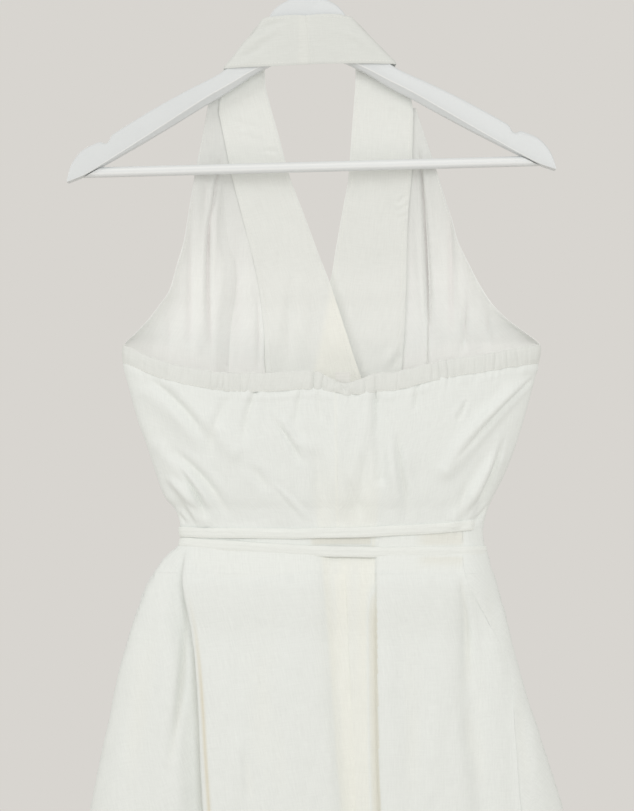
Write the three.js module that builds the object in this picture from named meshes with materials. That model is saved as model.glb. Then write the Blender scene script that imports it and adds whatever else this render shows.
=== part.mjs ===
// A linen halter dress with a wrapped front, hanging on a flat wooden hanger and seen from its back.
// Millimetres, +Z up, +X to the right of somebody who faces the dress's back, -Y towards them.
// The origin is where the hook rests on a rail.
import * as THREE from "three";

// Driving sizes
const CLOTH = 1.2; // one layer of linen
const DOUBLED = 2; // the neck bands and the waistband are two layers
const TIE_CLOTH = 1.8; // a tie is folded lengthwise
const CASING_THICK = 3; // two layers with the elastic between them
const SEAM_GAP = 0.3; // between pieces at a seam
const CASING_DEPTH = 16.5;
const WAIST_TOP = -546;
const SKIRT_TOP = -587;
const HEM = -1290;
const HEM_RISE_AT_SIDES = 14;
const BAND_OUT = 2.8; // from the front bodice's middle to the band's
const BAND_LAP = 5; // the front panel's edge lies this far under the front band
const WRAP_DEPTH = 6; // the inner front lies this far inside the outer one
const CASING_GATHERS = 27;
const HANGER_TILT = THREE.MathUtils.degToRad(1.5);
const HANGER_HALF_THICK = 8.5;
const BAR_DIAMETER = 9.6;
const WIRE_DIAMETER = 4;

// Small curves
const mix = (a, b, t) => a + (b - a) * t;
const clamp01 = (t) => Math.min(1, Math.max(0, t));
const smooth = (t) => clamp01(t) ** 2 * (3 - 2 * clamp01(t));

// Reads one named column of a table at a value of its key column, along a smooth curve.
function lookup(table, key, at, name) {
  const rows = table[0][key] < table[1][key] ? table : [...table].reverse();
  const last = rows.length - 1;
  if (at <= rows[0][key]) return rows[0][name];
  if (at >= rows[last][key]) return rows[last][name];
  const i = rows.findIndex((row, n) => n < last && at <= rows[n + 1][key]);
  const slope = (a, b) => (rows[b][name] - rows[a][name]) / (rows[b][key] - rows[a][key]);
  const span = rows[i + 1][key] - rows[i][key];
  const t = (at - rows[i][key]) / span;
  const leave = slope(Math.max(i - 1, 0), i + 1) * span;
  const arrive = slope(i, Math.min(i + 2, last)) * span;
  const a = rows[i][name];
  const b = rows[i + 1][name];
  return a + t * (leave + t * (3 * (b - a) - 2 * leave - arrive + t * (2 * (a - b) + leave + arrive)));
}

// Turns the faces round where the solid would be inside out.
function closedGeometry(positions, faces) {
  const geometry = new THREE.BufferGeometry();
  geometry.setAttribute("position", new THREE.Float32BufferAttribute(positions, 3));
  const corner = (n) => new THREE.Vector3().fromArray(positions, 3 * n);
  let volume = 0;
  for (let f = 0; f < faces.length; f += 3) {
    volume += corner(faces[f]).dot(corner(faces[f + 1]).cross(corner(faces[f + 2])));
  }
  if (volume < 0) faces.reverse();
  geometry.setIndex(faces);
  return geometry;
}

// The normals of a grid of points, each the mean of the cells round it.
function gridNormals(grid) {
  const normals = grid.map((row) => row.map(() => new THREE.Vector3()));
  for (let i = 0; i + 1 < grid.length; i++) {
    for (let j = 0; j + 1 < grid[i].length; j++) {
      const along = grid[i + 1][j + 1].clone().sub(grid[i][j]);
      const across = grid[i][j + 1].clone().sub(grid[i + 1][j]);
      const normal = along.cross(across).normalize();
      for (const [m, n] of [[i, j], [i + 1, j], [i + 1, j + 1], [i, j + 1]]) normals[m][n].add(normal);
    }
  }
  return normals.map((row) => row.map((normal) => normal.normalize()));
}

// A closed wall of a given thickness whose middle runs through a grid of points.
function wall(grid, thickness, normals = gridNormals(grid)) {
  const rows = grid.length;
  const columns = grid[0].length;
  const positions = [];
  for (const side of [0.5, -0.5]) {
    grid.forEach((row, i) =>
      row.forEach((point, j) => {
        positions.push(...point.clone().addScaledVector(normals[i][j], side * thickness).toArray());
      }),
    );
  }
  const front = (i, j) => i * columns + j;
  const back = (i, j) => rows * columns + front(i, j);
  const faces = [];
  const quad = (a, b, c, d) => faces.push(a, b, c, a, c, d);
  for (let i = 0; i + 1 < rows; i++) {
    for (let j = 0; j + 1 < columns; j++) {
      quad(front(i, j), front(i + 1, j), front(i + 1, j + 1), front(i, j + 1));
      quad(back(i, j), back(i, j + 1), back(i + 1, j + 1), back(i + 1, j));
    }
    quad(front(i, 0), back(i, 0), back(i + 1, 0), front(i + 1, 0));
    quad(front(i, columns - 1), front(i + 1, columns - 1), back(i + 1, columns - 1), back(i, columns - 1));
  }
  for (let j = 0; j + 1 < columns; j++) {
    quad(front(0, j), front(0, j + 1), back(0, j + 1), back(0, j));
    quad(front(rows - 1, j), back(rows - 1, j), back(rows - 1, j + 1), front(rows - 1, j + 1));
  }
  return closedGeometry(positions, faces);
}

// A solid through closed outlines, one after another, with a flat face at each end.
function loft(outlines) {
  const around = outlines[0].length;
  const positions = outlines.flatMap((outline) => outline.flatMap((point) => point.toArray()));
  const faces = [];
  for (let i = 0; i + 1 < outlines.length; i++) {
    for (let j = 0; j < around; j++) {
      const a = i * around + j;
      const b = i * around + ((j + 1) % around);
      faces.push(a, b, b + around, a, b + around, a + around);
    }
  }
  const end = (outlines.length - 1) * around;
  for (let j = 1; j + 1 < around; j++) {
    faces.push(0, j + 1, j, end, end + j, end + j + 1);
  }
  return closedGeometry(positions, faces);
}

// The dress by height. left and right are its two outlines as seen from the back: the armhole edges of the
// front above the casing, then the sides. rim is how far the side edges lie in front of the hanger's middle,
// and back and front are how far the cloth stands out from the rim halfway between the sides.
const SECTIONS = [
  { z: -150, left: -89.5, right: 101, rim: 11, back: 4, front: 2 },
  { z: -160.7, left: -91.3, right: 103.2, rim: 11, back: 4, front: 2.5 },
  { z: -192.6, left: -97.4, right: 114, rim: 10, back: 6, front: 5 },
  { z: -220, left: -103.1, right: 123.2, rim: 9, back: 8, front: 9 },
  { z: -252, left: -108.6, right: 133.1, rim: 8, back: 11, front: 15 },
  { z: -283.9, left: -114.1, right: 143.5, rim: 7, back: 15, front: 21 },
  { z: -306.7, left: -120.9, right: 153.7, rim: 6, back: 18, front: 26 },
  { z: -329.5, left: -127.8, right: 166.3, rim: 5, back: 20, front: 29 },
  { z: -343.2, left: -136.9, right: 176, rim: 4.5, back: 22, front: 31 },
  { z: -356.9, left: -146, right: 188.1, rim: 4, back: 23, front: 32 },
  { z: -368.8, left: -155.5, right: 202.5, rim: 3, back: 25, front: 33 },
  { z: -379.7, left: -165.5, right: 214.3, rim: 2, back: 26, front: 34 },
  { z: -398.9, left: -165.5, right: 212, rim: 1, back: 28, front: 35 },
  { z: -417.2, left: -160.8, right: 207.5, rim: 0, back: 29, front: 35 },
  { z: -446.4, left: -152.8, right: 199.6, rim: 0, back: 30, front: 34 },
  { z: -472.9, left: -143.4, right: 191.3, rim: 0, back: 30, front: 32 },
  { z: -497.5, left: -135.4, right: 181.6, rim: 0, back: 28, front: 30 },
  { z: -518.5, left: -127.3, right: 171.1, rim: 0, back: 25, front: 27 },
  { z: -529.4, left: -118, right: 166.2, rim: 0, back: 22, front: 25 },
  { z: -545, left: -115.3, right: 164.3, rim: 0, back: 20, front: 23 },
  { z: -560.5, left: -115.9, right: 165.6, rim: 0, back: 20, front: 23 },
  { z: -571.4, left: -125.7, right: 167, rim: 0, back: 20, front: 23 },
  { z: -581.5, left: -133.8, right: 169.5, rim: 0, back: 21, front: 25 },
  { z: -597.9, left: -144.2, right: 174.9, rim: 0, back: 24, front: 28 },
  { z: -617.1, left: -151.5, right: 179.2, rim: 0, back: 28, front: 31 },
  { z: -639.9, left: -158.8, right: 184.9, rim: 0, back: 31, front: 34 },
  { z: -681, left: -170.3, right: 196.7, rim: 0, back: 36, front: 39 },
  { z: -716.6, left: -177.6, right: 208.1, rim: 0, back: 39, front: 42 },
  { z: -761.3, left: -187.9, right: 223, rim: 0, back: 43, front: 46 },
  { z: -805.1, left: -197.3, right: 236.7, rim: 0, back: 46, front: 49 },
  { z: -1050, left: -249, right: 307, rim: 0, back: 58, front: 61 },
  { z: -1304, left: -300, right: 376, rim: 0, back: 68, front: 71 },
];
const FLATNESS = 2.6;
const ROUNDNESS = 0.5;

// Lines down the dress, each as a place across it by height: the seams, and the edges of the wrapped front.
const LINES = [
  { z: -397, centre: 28.5 },
  { z: -470, centre: 29 },
  { z: -546, centre: 31 },
  { z: -587, centre: 36.2 },
  { z: -667, centre: 40 },
  { z: -781, centre: 44.7 },
  { z: -1050, centre: 54 },
  { z: -1304, centre: 64 },
];
const BANDS = [
  { z: -160.7, leftIn: -31.6, leftOut: -80.3, rightIn: 44.5, rightOut: 99.4 },
  { z: -192.6, leftIn: -22.6, leftOut: -73.9, rightIn: 42.1, rightOut: 98.8 },
  { z: -224.6, leftIn: -13.7, leftOut: -67.5, rightIn: 39.7, rightOut: 98.1 },
  { z: -256.5, leftIn: -1.5, leftOut: -59.4, rightIn: 34.1, rightOut: 95.3 },
  { z: -288.5, leftIn: 10.6, leftOut: -51.2, rightIn: 28.4, rightOut: 94.3 },
  { z: -320.4, leftIn: 22.8, leftOut: -44.2, rightIn: 22.8, rightOut: 93.8 },
  { z: -362.4, leftIn: 36.5, leftOut: -38.7, rightIn: 8.9, rightOut: 92.3 },
  { z: -404.4, leftIn: 50.2, leftOut: -36.6, rightIn: -5, rightOut: 89.1 },
  { z: -439.1, leftIn: 62.6, leftOut: -30.2, rightIn: -16.4, rightOut: 81.9 },
  { z: -484.7, leftIn: 78.9, leftOut: -21.8, rightIn: -31.5, rightOut: 72.5 },
  { z: -525.8, leftIn: 93.6, leftOut: -14.1, rightIn: -45.1, rightOut: 64.1 },
  { z: -546.1, leftIn: 100.8, leftOut: -10.4, rightIn: -51.8, rightOut: 59.9 },
];
const WRAP_EDGES = [
  { z: -546, inner: 101, outer: -52 },
  { z: -805, inner: 116, outer: -66 },
  { z: -1304, inner: 146, outer: -96 },
];

// Folds. Each is a step in the cloth that runs down the dress. Its places are given by height, from the top
// down. It starts at one height and is full after a length. rise brings the cloth on its right towards -Y,
// riseHem is that at the hem, pocket dents it, run is the step's half width, and lap is how far the near side
// hangs over the far one.
const places = (...pairs) => pairs.map(([z, x]) => ({ z, x }));
const BACK_FOLDS = {
  sideGroove: {
    places: places([-587, -124], [-640, -118], [-693, -112], [-805, -104], [-1304, -80]),
    start: -580, length: 70, rise: -9, riseHem: -20, run: 7, lap: 0, pocket: 0,
  },
  leftEdge: {
    places: places(
      [-546, -107], [-585, -108.5], [-605, -104.5], [-637, -97.5], [-675, -93], [-715, -90.3], [-751, -88],
      [-805, -83], [-1304, -52],
    ),
    start: -554, length: 46, rise: 10, riseHem: 24, run: 3, lap: 6, pocket: 0,
  },
  centreLeft: {
    places: places([-546, 13], [-576, 15.5], [-630, 20], [-694, 24.5], [-758, 29], [-805, 33], [-1304, 48]),
    start: -541, length: 22, rise: -8, riseHem: -22, run: 5, lap: 0, pocket: 0,
  },
  centreRight: {
    places: places([-546, 64.5], [-612, 64.5], [-805, 68], [-1304, 92]),
    start: -541, length: 22, rise: 8, riseHem: 22, run: 3, lap: 5, pocket: 0,
  },
  rightValley: {
    places: places([-594, 134], [-722, 150], [-805, 158], [-1304, 205]),
    start: -580, length: 60, rise: -3, riseHem: -6, run: 8, lap: 0, pocket: 4,
  },
  rightEdge: {
    places: places(
      [-546, 147], [-588, 148], [-630, 167], [-674, 186], [-738, 191], [-805, 196], [-1304, 266],
    ),
    start: -538, length: 12, rise: 3, riseHem: 12, run: 2.5, lap: 0, pocket: 0,
  },
};
const FRONT_FOLDS = {
  farLeft: {
    places: places([-587, -82], [-805, -118], [-1304, -178]),
    start: -587, length: 120, rise: 0, riseHem: 0, run: 18, lap: 0, pocket: 12,
  },
  middle: {
    places: places([-587, -4], [-805, -14], [-1304, -26]),
    start: -587, length: 120, rise: 0, riseHem: 0, run: 17, lap: 0, pocket: 11,
  },
  right: {
    places: places([-587, 62], [-805, 84], [-1304, 112]),
    start: -587, length: 120, rise: 0, riseHem: 0, run: 17, lap: 0, pocket: 12,
  },
  farRight: {
    places: places([-587, 124], [-805, 168], [-1304, 250]),
    start: -587, length: 120, rise: 0, riseHem: 0, run: 17, lap: 0, pocket: 11,
  },
};
const BODICE_FRONT_FOLDS = {
  leftEdge: {
    places: places([-200, -86], [-237, -81.6], [-278, -79.4], [-313, -72.5], [-369, -78], [-480, -80]),
    start: -190, length: 50, rise: -6, riseHem: -6, run: 2.5, lap: 3, pocket: 0,
  },
  rightEdge: {
    places: places([-200, 108], [-241, 108.7], [-321, 112.7], [-397, 115], [-480, 112]),
    start: -190, length: 50, rise: 6, riseHem: 6, run: 2.5, lap: 3, pocket: 0,
  },
  rightValley: {
    places: places([-290, 133], [-480, 134]),
    start: -270, length: 60, rise: 0, riseHem: 0, run: 7, lap: 0, pocket: 3,
  },
};

// The ties are taut: they cross the centre back's recess and don't follow it.
const { centreLeft, centreRight, ...TAUT_FOLDS } = BACK_FOLDS;

// Drag lines in the back bodice, from one point to another.
const DRAG_LINES = [
  { x1: 190, z1: -420, x2: 128, z2: -494, height: 4, width: 7 },
  { x1: 178, z1: -486, x2: 136, z2: -538, height: 3, width: 6 },
  { x1: -118, z1: -416, x2: -64, z2: -476, height: 3, width: 8 },
  { x1: -134, z1: -474, x2: -92, z2: -538, height: 4, width: 7 },
  { x1: 64, z1: -430, x2: 68, z2: -500, height: -3, width: 6 },
];

function foldAt(fold, z) {
  const place = lookup(fold.places, "z", z, "x");
  const grown = smooth((fold.start - z) / fold.length);
  const down = clamp01((z - SKIRT_TOP) / (HEM - SKIRT_TOP));
  return {
    place,
    rise: mix(fold.rise, fold.riseHem, down) * grown,
    pocket: fold.pocket * mix(0.8, 1.6, down) * grown,
    run: fold.run * mix(1, 1.7, down),
    lap: fold.lap * mix(1, 1.5, down) * grown,
  };
}

// The plain form of the dress. Round it, turn 0 is the centre back, -1 the left side and 1 the right side,
// and past those the front follows to -2 and 2, where its middle is.
function plainPoint(turn, z) {
  const read = (name) => lookup(SECTIONS, "z", z, name);
  const left = read("left");
  const right = read("right");
  const onBack = Math.abs(turn) <= 1;
  const across = onBack ? turn : Math.sign(turn) * 2 - turn;
  const bow = Math.max(0, 1 - Math.abs(across) ** FLATNESS) ** ROUNDNESS;
  const x = mix(left, right, (across + 1) / 2);
  const y = read("rim") + (onBack ? -read("back") : read("front")) * bow;
  return { point: new THREE.Vector3(x, y, z), onBack, across };
}

function dressPoint(turn, z, backFolds = BACK_FOLDS) {
  const { point, onBack, across } = plainPoint(turn, z);
  const { x } = point;
  const calm = 1 - Math.abs(across) ** 10;
  const frontFolds = z > SKIRT_TOP ? BODICE_FRONT_FOLDS : FRONT_FOLDS;
  for (const fold of Object.values(onBack ? backFolds : frontFolds)) {
    const { place, rise, pocket, run, lap } = foldAt(fold, z);
    const q = (x - place) / run;
    const fade = onBack || z < SKIRT_TOP ? 1 : smooth((z + 530) / 60);
    point.y -= rise * 0.5 * (1 + Math.tanh(q)) * calm * fade;
    point.y += (onBack ? 1 : -1) * pocket * Math.exp(-q * q) * calm * fade;
    point.x -= Math.sign(rise) * lap * Math.tanh(1.4 * q) * Math.exp((-q * q) / 5) * calm * fade;
  }
  if (onBack && z > WAIST_TOP) {
    for (const { x1, z1, x2, z2, height, width } of DRAG_LINES) {
      const length = Math.hypot(x2 - x1, z2 - z1);
      const along = clamp01(((x - x1) * (x2 - x1) + (z - z1) * (z2 - z1)) / length ** 2);
      const far = Math.hypot(x - mix(x1, x2, along), z - mix(z1, z2, along)) / width;
      point.y -= height * Math.exp(-far * far) * calm;
    }
  }
  return point;
}

// The way out of the dress at a point of it.
function outward(turn, z, backFolds = BACK_FOLDS) {
  const side = dressPoint(turn + 1e-3, z, backFolds).sub(dressPoint(turn - 1e-3, z, backFolds));
  const up = dressPoint(turn, z + 0.4, backFolds).sub(dressPoint(turn, z - 0.4, backFolds));
  return side.cross(up).normalize();
}

const turnOfBack = (x, z) => {
  const left = lookup(SECTIONS, "z", z, "left");
  const right = lookup(SECTIONS, "z", z, "right");
  return (2 * (x - left)) / (right - left) - 1;
};
const turnOfFront = (x, z, side) => side * 2 - turnOfBack(x, z);

// A panel hangs from its top line to its bottom line. Its columns stand on anchors, each a place round the
// dress by height, with even columns between them.
function panel({ rows, top, bottom, anchors, thickness = CLOTH, out = () => 0 }) {
  const grid = [];
  const normals = [];
  for (const down of rows) {
    const middle = mix(top(0), bottom(0), down);
    const turns = anchors.flatMap(({ turn, fill = 0 }, n) => {
      const here = turn(middle, down);
      if (n === anchors.length - 1) return [here];
      const next = anchors[n + 1].turn(middle, down);
      return Array.from({ length: fill + 1 }, (_, k) => mix(here, next, k / (fill + 1)));
    });
    const gridRow = [];
    const normalRow = [];
    for (const turn of turns) {
      const z = mix(top(turn), bottom(turn), down);
      const normal = outward(turn, z);
      gridRow.push(dressPoint(turn, z).addScaledVector(normal, out(turn, z)));
      normalRow.push(normal);
    }
    grid.push(gridRow);
    normals.push(normalRow);
  }
  return wall(grid, thickness, normals);
}
const evenRows = (count) => Array.from({ length: count }, (_, n) => n / (count - 1));
const at = (turn, fill = 0) => ({ turn: () => turn, fill });
const atPlace = (placeAt, turnOf, fill = 0) => ({ turn: (z) => turnOf(placeAt(z), z), fill });
const SHARP_STEPS = [-2.4, -1.2, -0.5, 0, 0.5, 1.2, 2.4];
const SOFT_STEPS = [-1.6, -0.55, 0.55, 1.6];
const acrossFold = (fold, steps, turnOf, fill = 0) =>
  steps.map((step, n) => ({
    fill: n === steps.length - 1 ? fill : 0,
    turn: (z) => {
      const { place, run } = foldAt(fold, z);
      return turnOf(place + step * run, z);
    },
  }));
const line = (table, name, gap = 0) => (z) => lookup(table, "z", z, name) + gap;
const foldLine = (fold, gap) => (z) => lookup(fold.places, "z", z, "x") + gap;
const frontLeft = (x, z) => turnOfFront(x, z, -1);
const frontRight = (x, z) => turnOfFront(x, z, 1);
const HALF_GAP = SEAM_GAP / 2;
const SIDE_GAP = 0.0022; // half a side seam's gap, as a part of a turn

// Where the inner front lies behind the outer one.
const wrapOut = (turn, z) =>
  -WRAP_DEPTH * smooth((Math.abs(turn) - 1.04) / 0.34) * smooth((-200 - z) / 120);

// Skirt
const skirtRows = [0, 0.035, 0.08, 0.14, 0.22, 0.32, 0.46, 0.62, 0.8, 1];
const acrossOf = (turn) => (Math.abs(turn) <= 1 ? turn : Math.sign(turn) * 2 - turn);
const skirt = (anchors, out) =>
  panel({
    rows: skirtRows,
    top: () => SKIRT_TOP - HALF_GAP,
    bottom: (turn) => HEM + HEM_RISE_AT_SIDES * acrossOf(turn) ** 2,
    anchors,
    out,
  });
const skirtBackLeft = () =>
  skirt([
    atPlace(foldLine(BACK_FOLDS.leftEdge, HALF_GAP), turnOfBack),
    ...acrossFold(BACK_FOLDS.leftEdge, SHARP_STEPS.slice(4), turnOfBack, 3),
    ...acrossFold(BACK_FOLDS.centreLeft, SOFT_STEPS, turnOfBack),
    atPlace(line(LINES, "centre", -HALF_GAP), turnOfBack),
  ]);
const skirtBackRight = () =>
  skirt([
    atPlace(line(LINES, "centre", HALF_GAP), turnOfBack, 1),
    ...acrossFold(BACK_FOLDS.centreRight, SHARP_STEPS, turnOfBack, 1),
    ...acrossFold(BACK_FOLDS.rightValley, SOFT_STEPS, turnOfBack),
    ...acrossFold(BACK_FOLDS.rightEdge, SHARP_STEPS.slice(1, 3), turnOfBack),
    atPlace(foldLine(BACK_FOLDS.rightEdge, -HALF_GAP), turnOfBack),
  ]);
const skirtFrontInner = () =>
  skirt(
    [
      atPlace(foldLine(BACK_FOLDS.leftEdge, -HALF_GAP), turnOfBack),
      ...acrossFold(BACK_FOLDS.leftEdge, [-0.5, -1.4], turnOfBack),
      ...acrossFold(BACK_FOLDS.sideGroove, [0.6, -0.4], turnOfBack),
      at(-0.95), at(-0.985), at(-1), at(-1.015), at(-1.06), at(-1.16),
      ...acrossFold(FRONT_FOLDS.farLeft, SOFT_STEPS, frontLeft),
      ...acrossFold(FRONT_FOLDS.middle, SOFT_STEPS, frontLeft),
      ...acrossFold(FRONT_FOLDS.right, SOFT_STEPS, frontLeft),
      atPlace(line(WRAP_EDGES, "inner"), frontLeft),
    ],
    wrapOut,
  );
const skirtFrontOuter = () =>
  skirt([
    atPlace(foldLine(BACK_FOLDS.rightEdge, HALF_GAP), turnOfBack),
    ...acrossFold(BACK_FOLDS.rightEdge, [0.5, 1.2, 2.4], turnOfBack),
    at(0.985), at(1), at(1.015), at(1.06),
    ...acrossFold(FRONT_FOLDS.farRight, SOFT_STEPS.map((step) => -step), frontRight),
    ...acrossFold(FRONT_FOLDS.right, SOFT_STEPS.map((step) => -step), frontRight),
    ...acrossFold(FRONT_FOLDS.middle, SOFT_STEPS.map((step) => -step), frontRight),
    atPlace(line(WRAP_EDGES, "outer"), frontRight),
  ]);

// Waistband: one piece round the back, and one on each front.
const waistband = (anchors, out) =>
  panel({
    rows: evenRows(4),
    top: () => WAIST_TOP - HALF_GAP,
    bottom: () => SKIRT_TOP + HALF_GAP,
    anchors,
    thickness: DOUBLED,
    out,
  });
const waistbandBack = () =>
  waistband([
    atPlace(foldLine(BACK_FOLDS.leftEdge, HALF_GAP), turnOfBack),
    ...acrossFold(BACK_FOLDS.leftEdge, SHARP_STEPS.slice(4), turnOfBack, 4),
    ...acrossFold(BACK_FOLDS.centreLeft, SOFT_STEPS, turnOfBack, 1),
    ...acrossFold(BACK_FOLDS.centreRight, SHARP_STEPS, turnOfBack, 4),
    ...acrossFold(BACK_FOLDS.rightEdge, SHARP_STEPS.slice(0, 3), turnOfBack),
    atPlace(foldLine(BACK_FOLDS.rightEdge, -HALF_GAP), turnOfBack),
  ]);
const waistbandInner = () =>
  waistband(
    [
      atPlace(foldLine(BACK_FOLDS.leftEdge, -HALF_GAP), turnOfBack, 1),
      at(-0.985), at(-1), at(-1.015), at(-1.06), at(-1.16, 1), at(-1.45, 3),
      atPlace(line(WRAP_EDGES, "inner"), frontLeft),
    ],
    wrapOut,
  );
const waistbandOuter = () =>
  waistband([
    atPlace(foldLine(BACK_FOLDS.rightEdge, HALF_GAP), turnOfBack),
    ...acrossFold(BACK_FOLDS.rightEdge, [0.5, 1.2, 2.4], turnOfBack),
    at(0.985), at(1), at(1.015), at(1.06, 1), at(1.25, 4),
    atPlace(line(WRAP_EDGES, "outer"), frontRight),
  ]);

// Back casing: a strip that the elastic gathers, from side seam to side seam along the back's top edge.
const CASING_TOP = [
  { x: -165.5, z: -379.7 },
  { x: -127.8, z: -395.3 },
  { x: -82.2, z: -404.4 },
  { x: -39.3, z: -406.2 },
  { x: 9.1, z: -404.4 },
  { x: 27.4, z: -411.7 },
  { x: 36.5, z: -415.3 },
  { x: 48.4, z: -412.6 },
  { x: 63.9, z: -407.1 },
  { x: 86.7, z: -404.4 },
  { x: 123.2, z: -395.3 },
  { x: 159.7, z: -388.9 },
  { x: 214.3, z: -379.7 },
];
const casingTop = (turn) => lookup(CASING_TOP, "x", mix(-165.5, 214.3, (acrossOf(turn) + 1) / 2), "z");
function backCasing() {
  const perGather = 4;
  const count = CASING_GATHERS * perGather;
  const grid = [];
  const normals = [];
  for (const down of [0, 0.5, 1]) {
    const gridRow = [];
    const normalRow = [];
    for (let n = 0; n <= count; n++) {
      const uneven = 0.35 * Math.sin(n * 0.37) + 0.25 * Math.sin(n * 0.83);
      const turn = mix(-1 + SIDE_GAP, 1 - SIDE_GAP, n / count);
      const ease = smooth(Math.min(n, count - n) / 4);
      const puff = Math.cos(((n + uneven) * 2 * Math.PI) / perGather) * ease;
      const z = casingTop(turn) - CASING_DEPTH * down + (down < 0.5 ? 0.5 * puff : 0);
      const normal = outward(turn, z);
      const swell = (down === 0.5 ? 1.3 : 0.8) * puff + 0.5 * ease;
      gridRow.push(dressPoint(turn, z).addScaledVector(normal, swell));
      normalRow.push(normal);
    }
    grid.push(gridRow);
    normals.push(normalRow);
  }
  return wall(grid, CASING_THICK, normals);
}

// Back bodice
const backBodice = (anchors) =>
  panel({
    rows: evenRows(11),
    top: (turn) => casingTop(turn) - CASING_DEPTH - 2 * SEAM_GAP,
    bottom: () => WAIST_TOP + HALF_GAP,
    anchors,
  });
const backBodiceLeft = () =>
  backBodice([
    at(-1 + SIDE_GAP), at(-0.985), at(-0.95), at(-0.88), at(-0.78), at(-0.67, 1), at(-0.45, 1), at(-0.2),
    at(-0.08),
    atPlace(line(LINES, "centre", -HALF_GAP), turnOfBack),
  ]);
const backBodiceRight = () =>
  backBodice([
    atPlace(line(LINES, "centre", HALF_GAP), turnOfBack),
    at(0.055), at(0.075), at(0.1), at(0.135), at(0.17), at(0.21), at(0.27), at(0.35, 3), at(0.7), at(0.79),
    at(0.88), at(0.95), at(0.985), at(1 - SIDE_GAP),
  ]);

// Front bodice: its outer edge is the armhole down to the casing and the side seam from there.
const frontEdge = (side) => ({ turn: (z) => side * (z > -376 ? 1.02 : 1 + SIDE_GAP) });
const bodiceRows = [0, 0.06, 0.13, 0.21, 0.3, 0.39, 0.47, 0.53, 0.575, 0.605, 0.65, 0.74, 0.87, 1];
const frontBodice = (topZ, anchors, out) =>
  panel({ rows: bodiceRows, top: () => topZ, bottom: () => WAIST_TOP + HALF_GAP, anchors, out });
const between = (a, b, t) => ({ turn: (z) => mix(a.turn(z), b.turn(z), t) });
const PANEL_SHARES = [0, 0.03, 0.09, 0.19, 0.3, 0.4, 0.5, 0.6, 0.7, 0.8, 0.9, 1];
function frontBodiceLeft() {
  const edge = frontEdge(-1);
  const seam = atPlace(line(BANDS, "leftOut", BAND_LAP), frontLeft);
  return frontBodice(-152, PANEL_SHARES.map((t) => between(edge, seam, t)), wrapOut);
}
function frontBodiceRight() {
  const edge = frontEdge(1);
  const seam = atPlace(line(BANDS, "rightOut", -BAND_LAP), frontRight);
  return frontBodice(-162, PANEL_SHARES.map((t) => between(edge, seam, t)), () => 0);
}

// Neck bands. Each starts at the centre back seam behind the hanger's neck, folds over the hanger's shoulder
// and hangs down its front side to the waist. inX and inZ are the neckline edge, outX and outZ the other.
const NECK_LEFT = [
  { inX: 0.8, inZ: -80.9, outX: 6.1, outZ: -124.9, y: -12.2 },
  { inX: -12, inZ: -80.4, outX: -18, outZ: -126.4, y: -12.6 },
  { inX: -26, inZ: -81.6, outX: -48, outZ: -127.4, y: -11.8 },
  { inX: -34.2, inZ: -84.6, outX: -71.6, outZ: -129.6, y: -10.3 },
  { inX: -36, inZ: -83.1, outX: -73.4, outZ: -128.9, y: -8.8 },
  { inX: -36.7, inZ: -82.5, outX: -74.1, outZ: -128.1, y: -4.5 },
  { inX: -36.7, inZ: -82.5, outX: -74.1, outZ: -128.1, y: 4.5 },
  { inX: -36, inZ: -83.1, outX: -73.4, outZ: -128.9, y: 8.8 },
  { inX: -34.2, inZ: -86.9, outX: -72.8, outZ: -131.6, y: 10.3 },
  { inX: -37, inZ: -112, outX: -77.5, outZ: -146, y: 10.8 },
];
const NECK_RIGHT = [
  { inX: 1.1, inZ: -80.9, outX: 6.4, outZ: -124.9, y: -12.2 },
  { inX: 14, inZ: -79.6, outX: 30, outZ: -124.4, y: -12.6 },
  { inX: 30, inZ: -79.6, outX: 58, outZ: -124.2, y: -11.8 },
  { inX: 38.8, inZ: -82.8, outX: 80.4, outZ: -125.2, y: -10.3 },
  { inX: 40.7, inZ: -81.5, outX: 82.4, outZ: -124.5, y: -8.8 },
  { inX: 41.4, inZ: -80.9, outX: 83.1, outZ: -123.7, y: -4.5 },
  { inX: 41.4, inZ: -80.9, outX: 83.1, outZ: -123.7, y: 4.5 },
  { inX: 40.7, inZ: -81.5, outX: 82.4, outZ: -124.5, y: 8.8 },
  { inX: 39.8, inZ: -84.8, outX: 83, outZ: -127.4, y: 10.3 },
  { inX: 45.6, inZ: -112, outX: 94, outZ: -142, y: 10.8 },
];
const BAND_LEVELS = [
  { inZ: -142, outZ: -165 }, { inZ: -176, outZ: -192 }, { inZ: -210, outZ: -220 }, { inZ: -245, outZ: -250 },
  { inZ: -280, outZ: -282 }, { inZ: -312, outZ: -312 }, { inZ: -345, outZ: -345 }, { inZ: -385, outZ: -385 },
  { inZ: -425, outZ: -425 }, { inZ: -465, outZ: -465 }, { inZ: -505, outZ: -505 },
  { inZ: WAIST_TOP + HALF_GAP, outZ: WAIST_TOP + HALF_GAP },
];
const BAND_UPPER = [{ z: -128.5, leftIn: -39.3, leftOut: -85, rightIn: 47, rightOut: 99.4 }, ...BANDS];
function frontBand(neck, inName, outName, turnOf, out) {
  const columns = 7;
  const grid = neck.map(({ inX, inZ, outX, outZ, y }) =>
    Array.from({ length: columns }, (_, n) => {
      const t = n / (columns - 1);
      return new THREE.Vector3(mix(inX, outX, t), y, mix(inZ, outZ, t));
    }),
  );
  for (const { inZ, outZ } of BAND_LEVELS) {
    const inX = lookup(BAND_UPPER, "z", inZ, inName);
    const outX = lookup(BAND_UPPER, "z", outZ, outName);
    grid.push(
      Array.from({ length: columns }, (_, n) => {
        const t = n / (columns - 1);
        const z = mix(inZ, outZ, t);
        const turn = turnOf(mix(inX, outX, t), z);
        return dressPoint(turn, z).addScaledVector(outward(turn, z), out(turn, z) - BAND_OUT);
      }),
    );
  }
  return wall(grid, DOUBLED);
}
const bandLeft = () => frontBand(NECK_LEFT, "leftIn", "leftOut", frontLeft, wrapOut);
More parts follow.
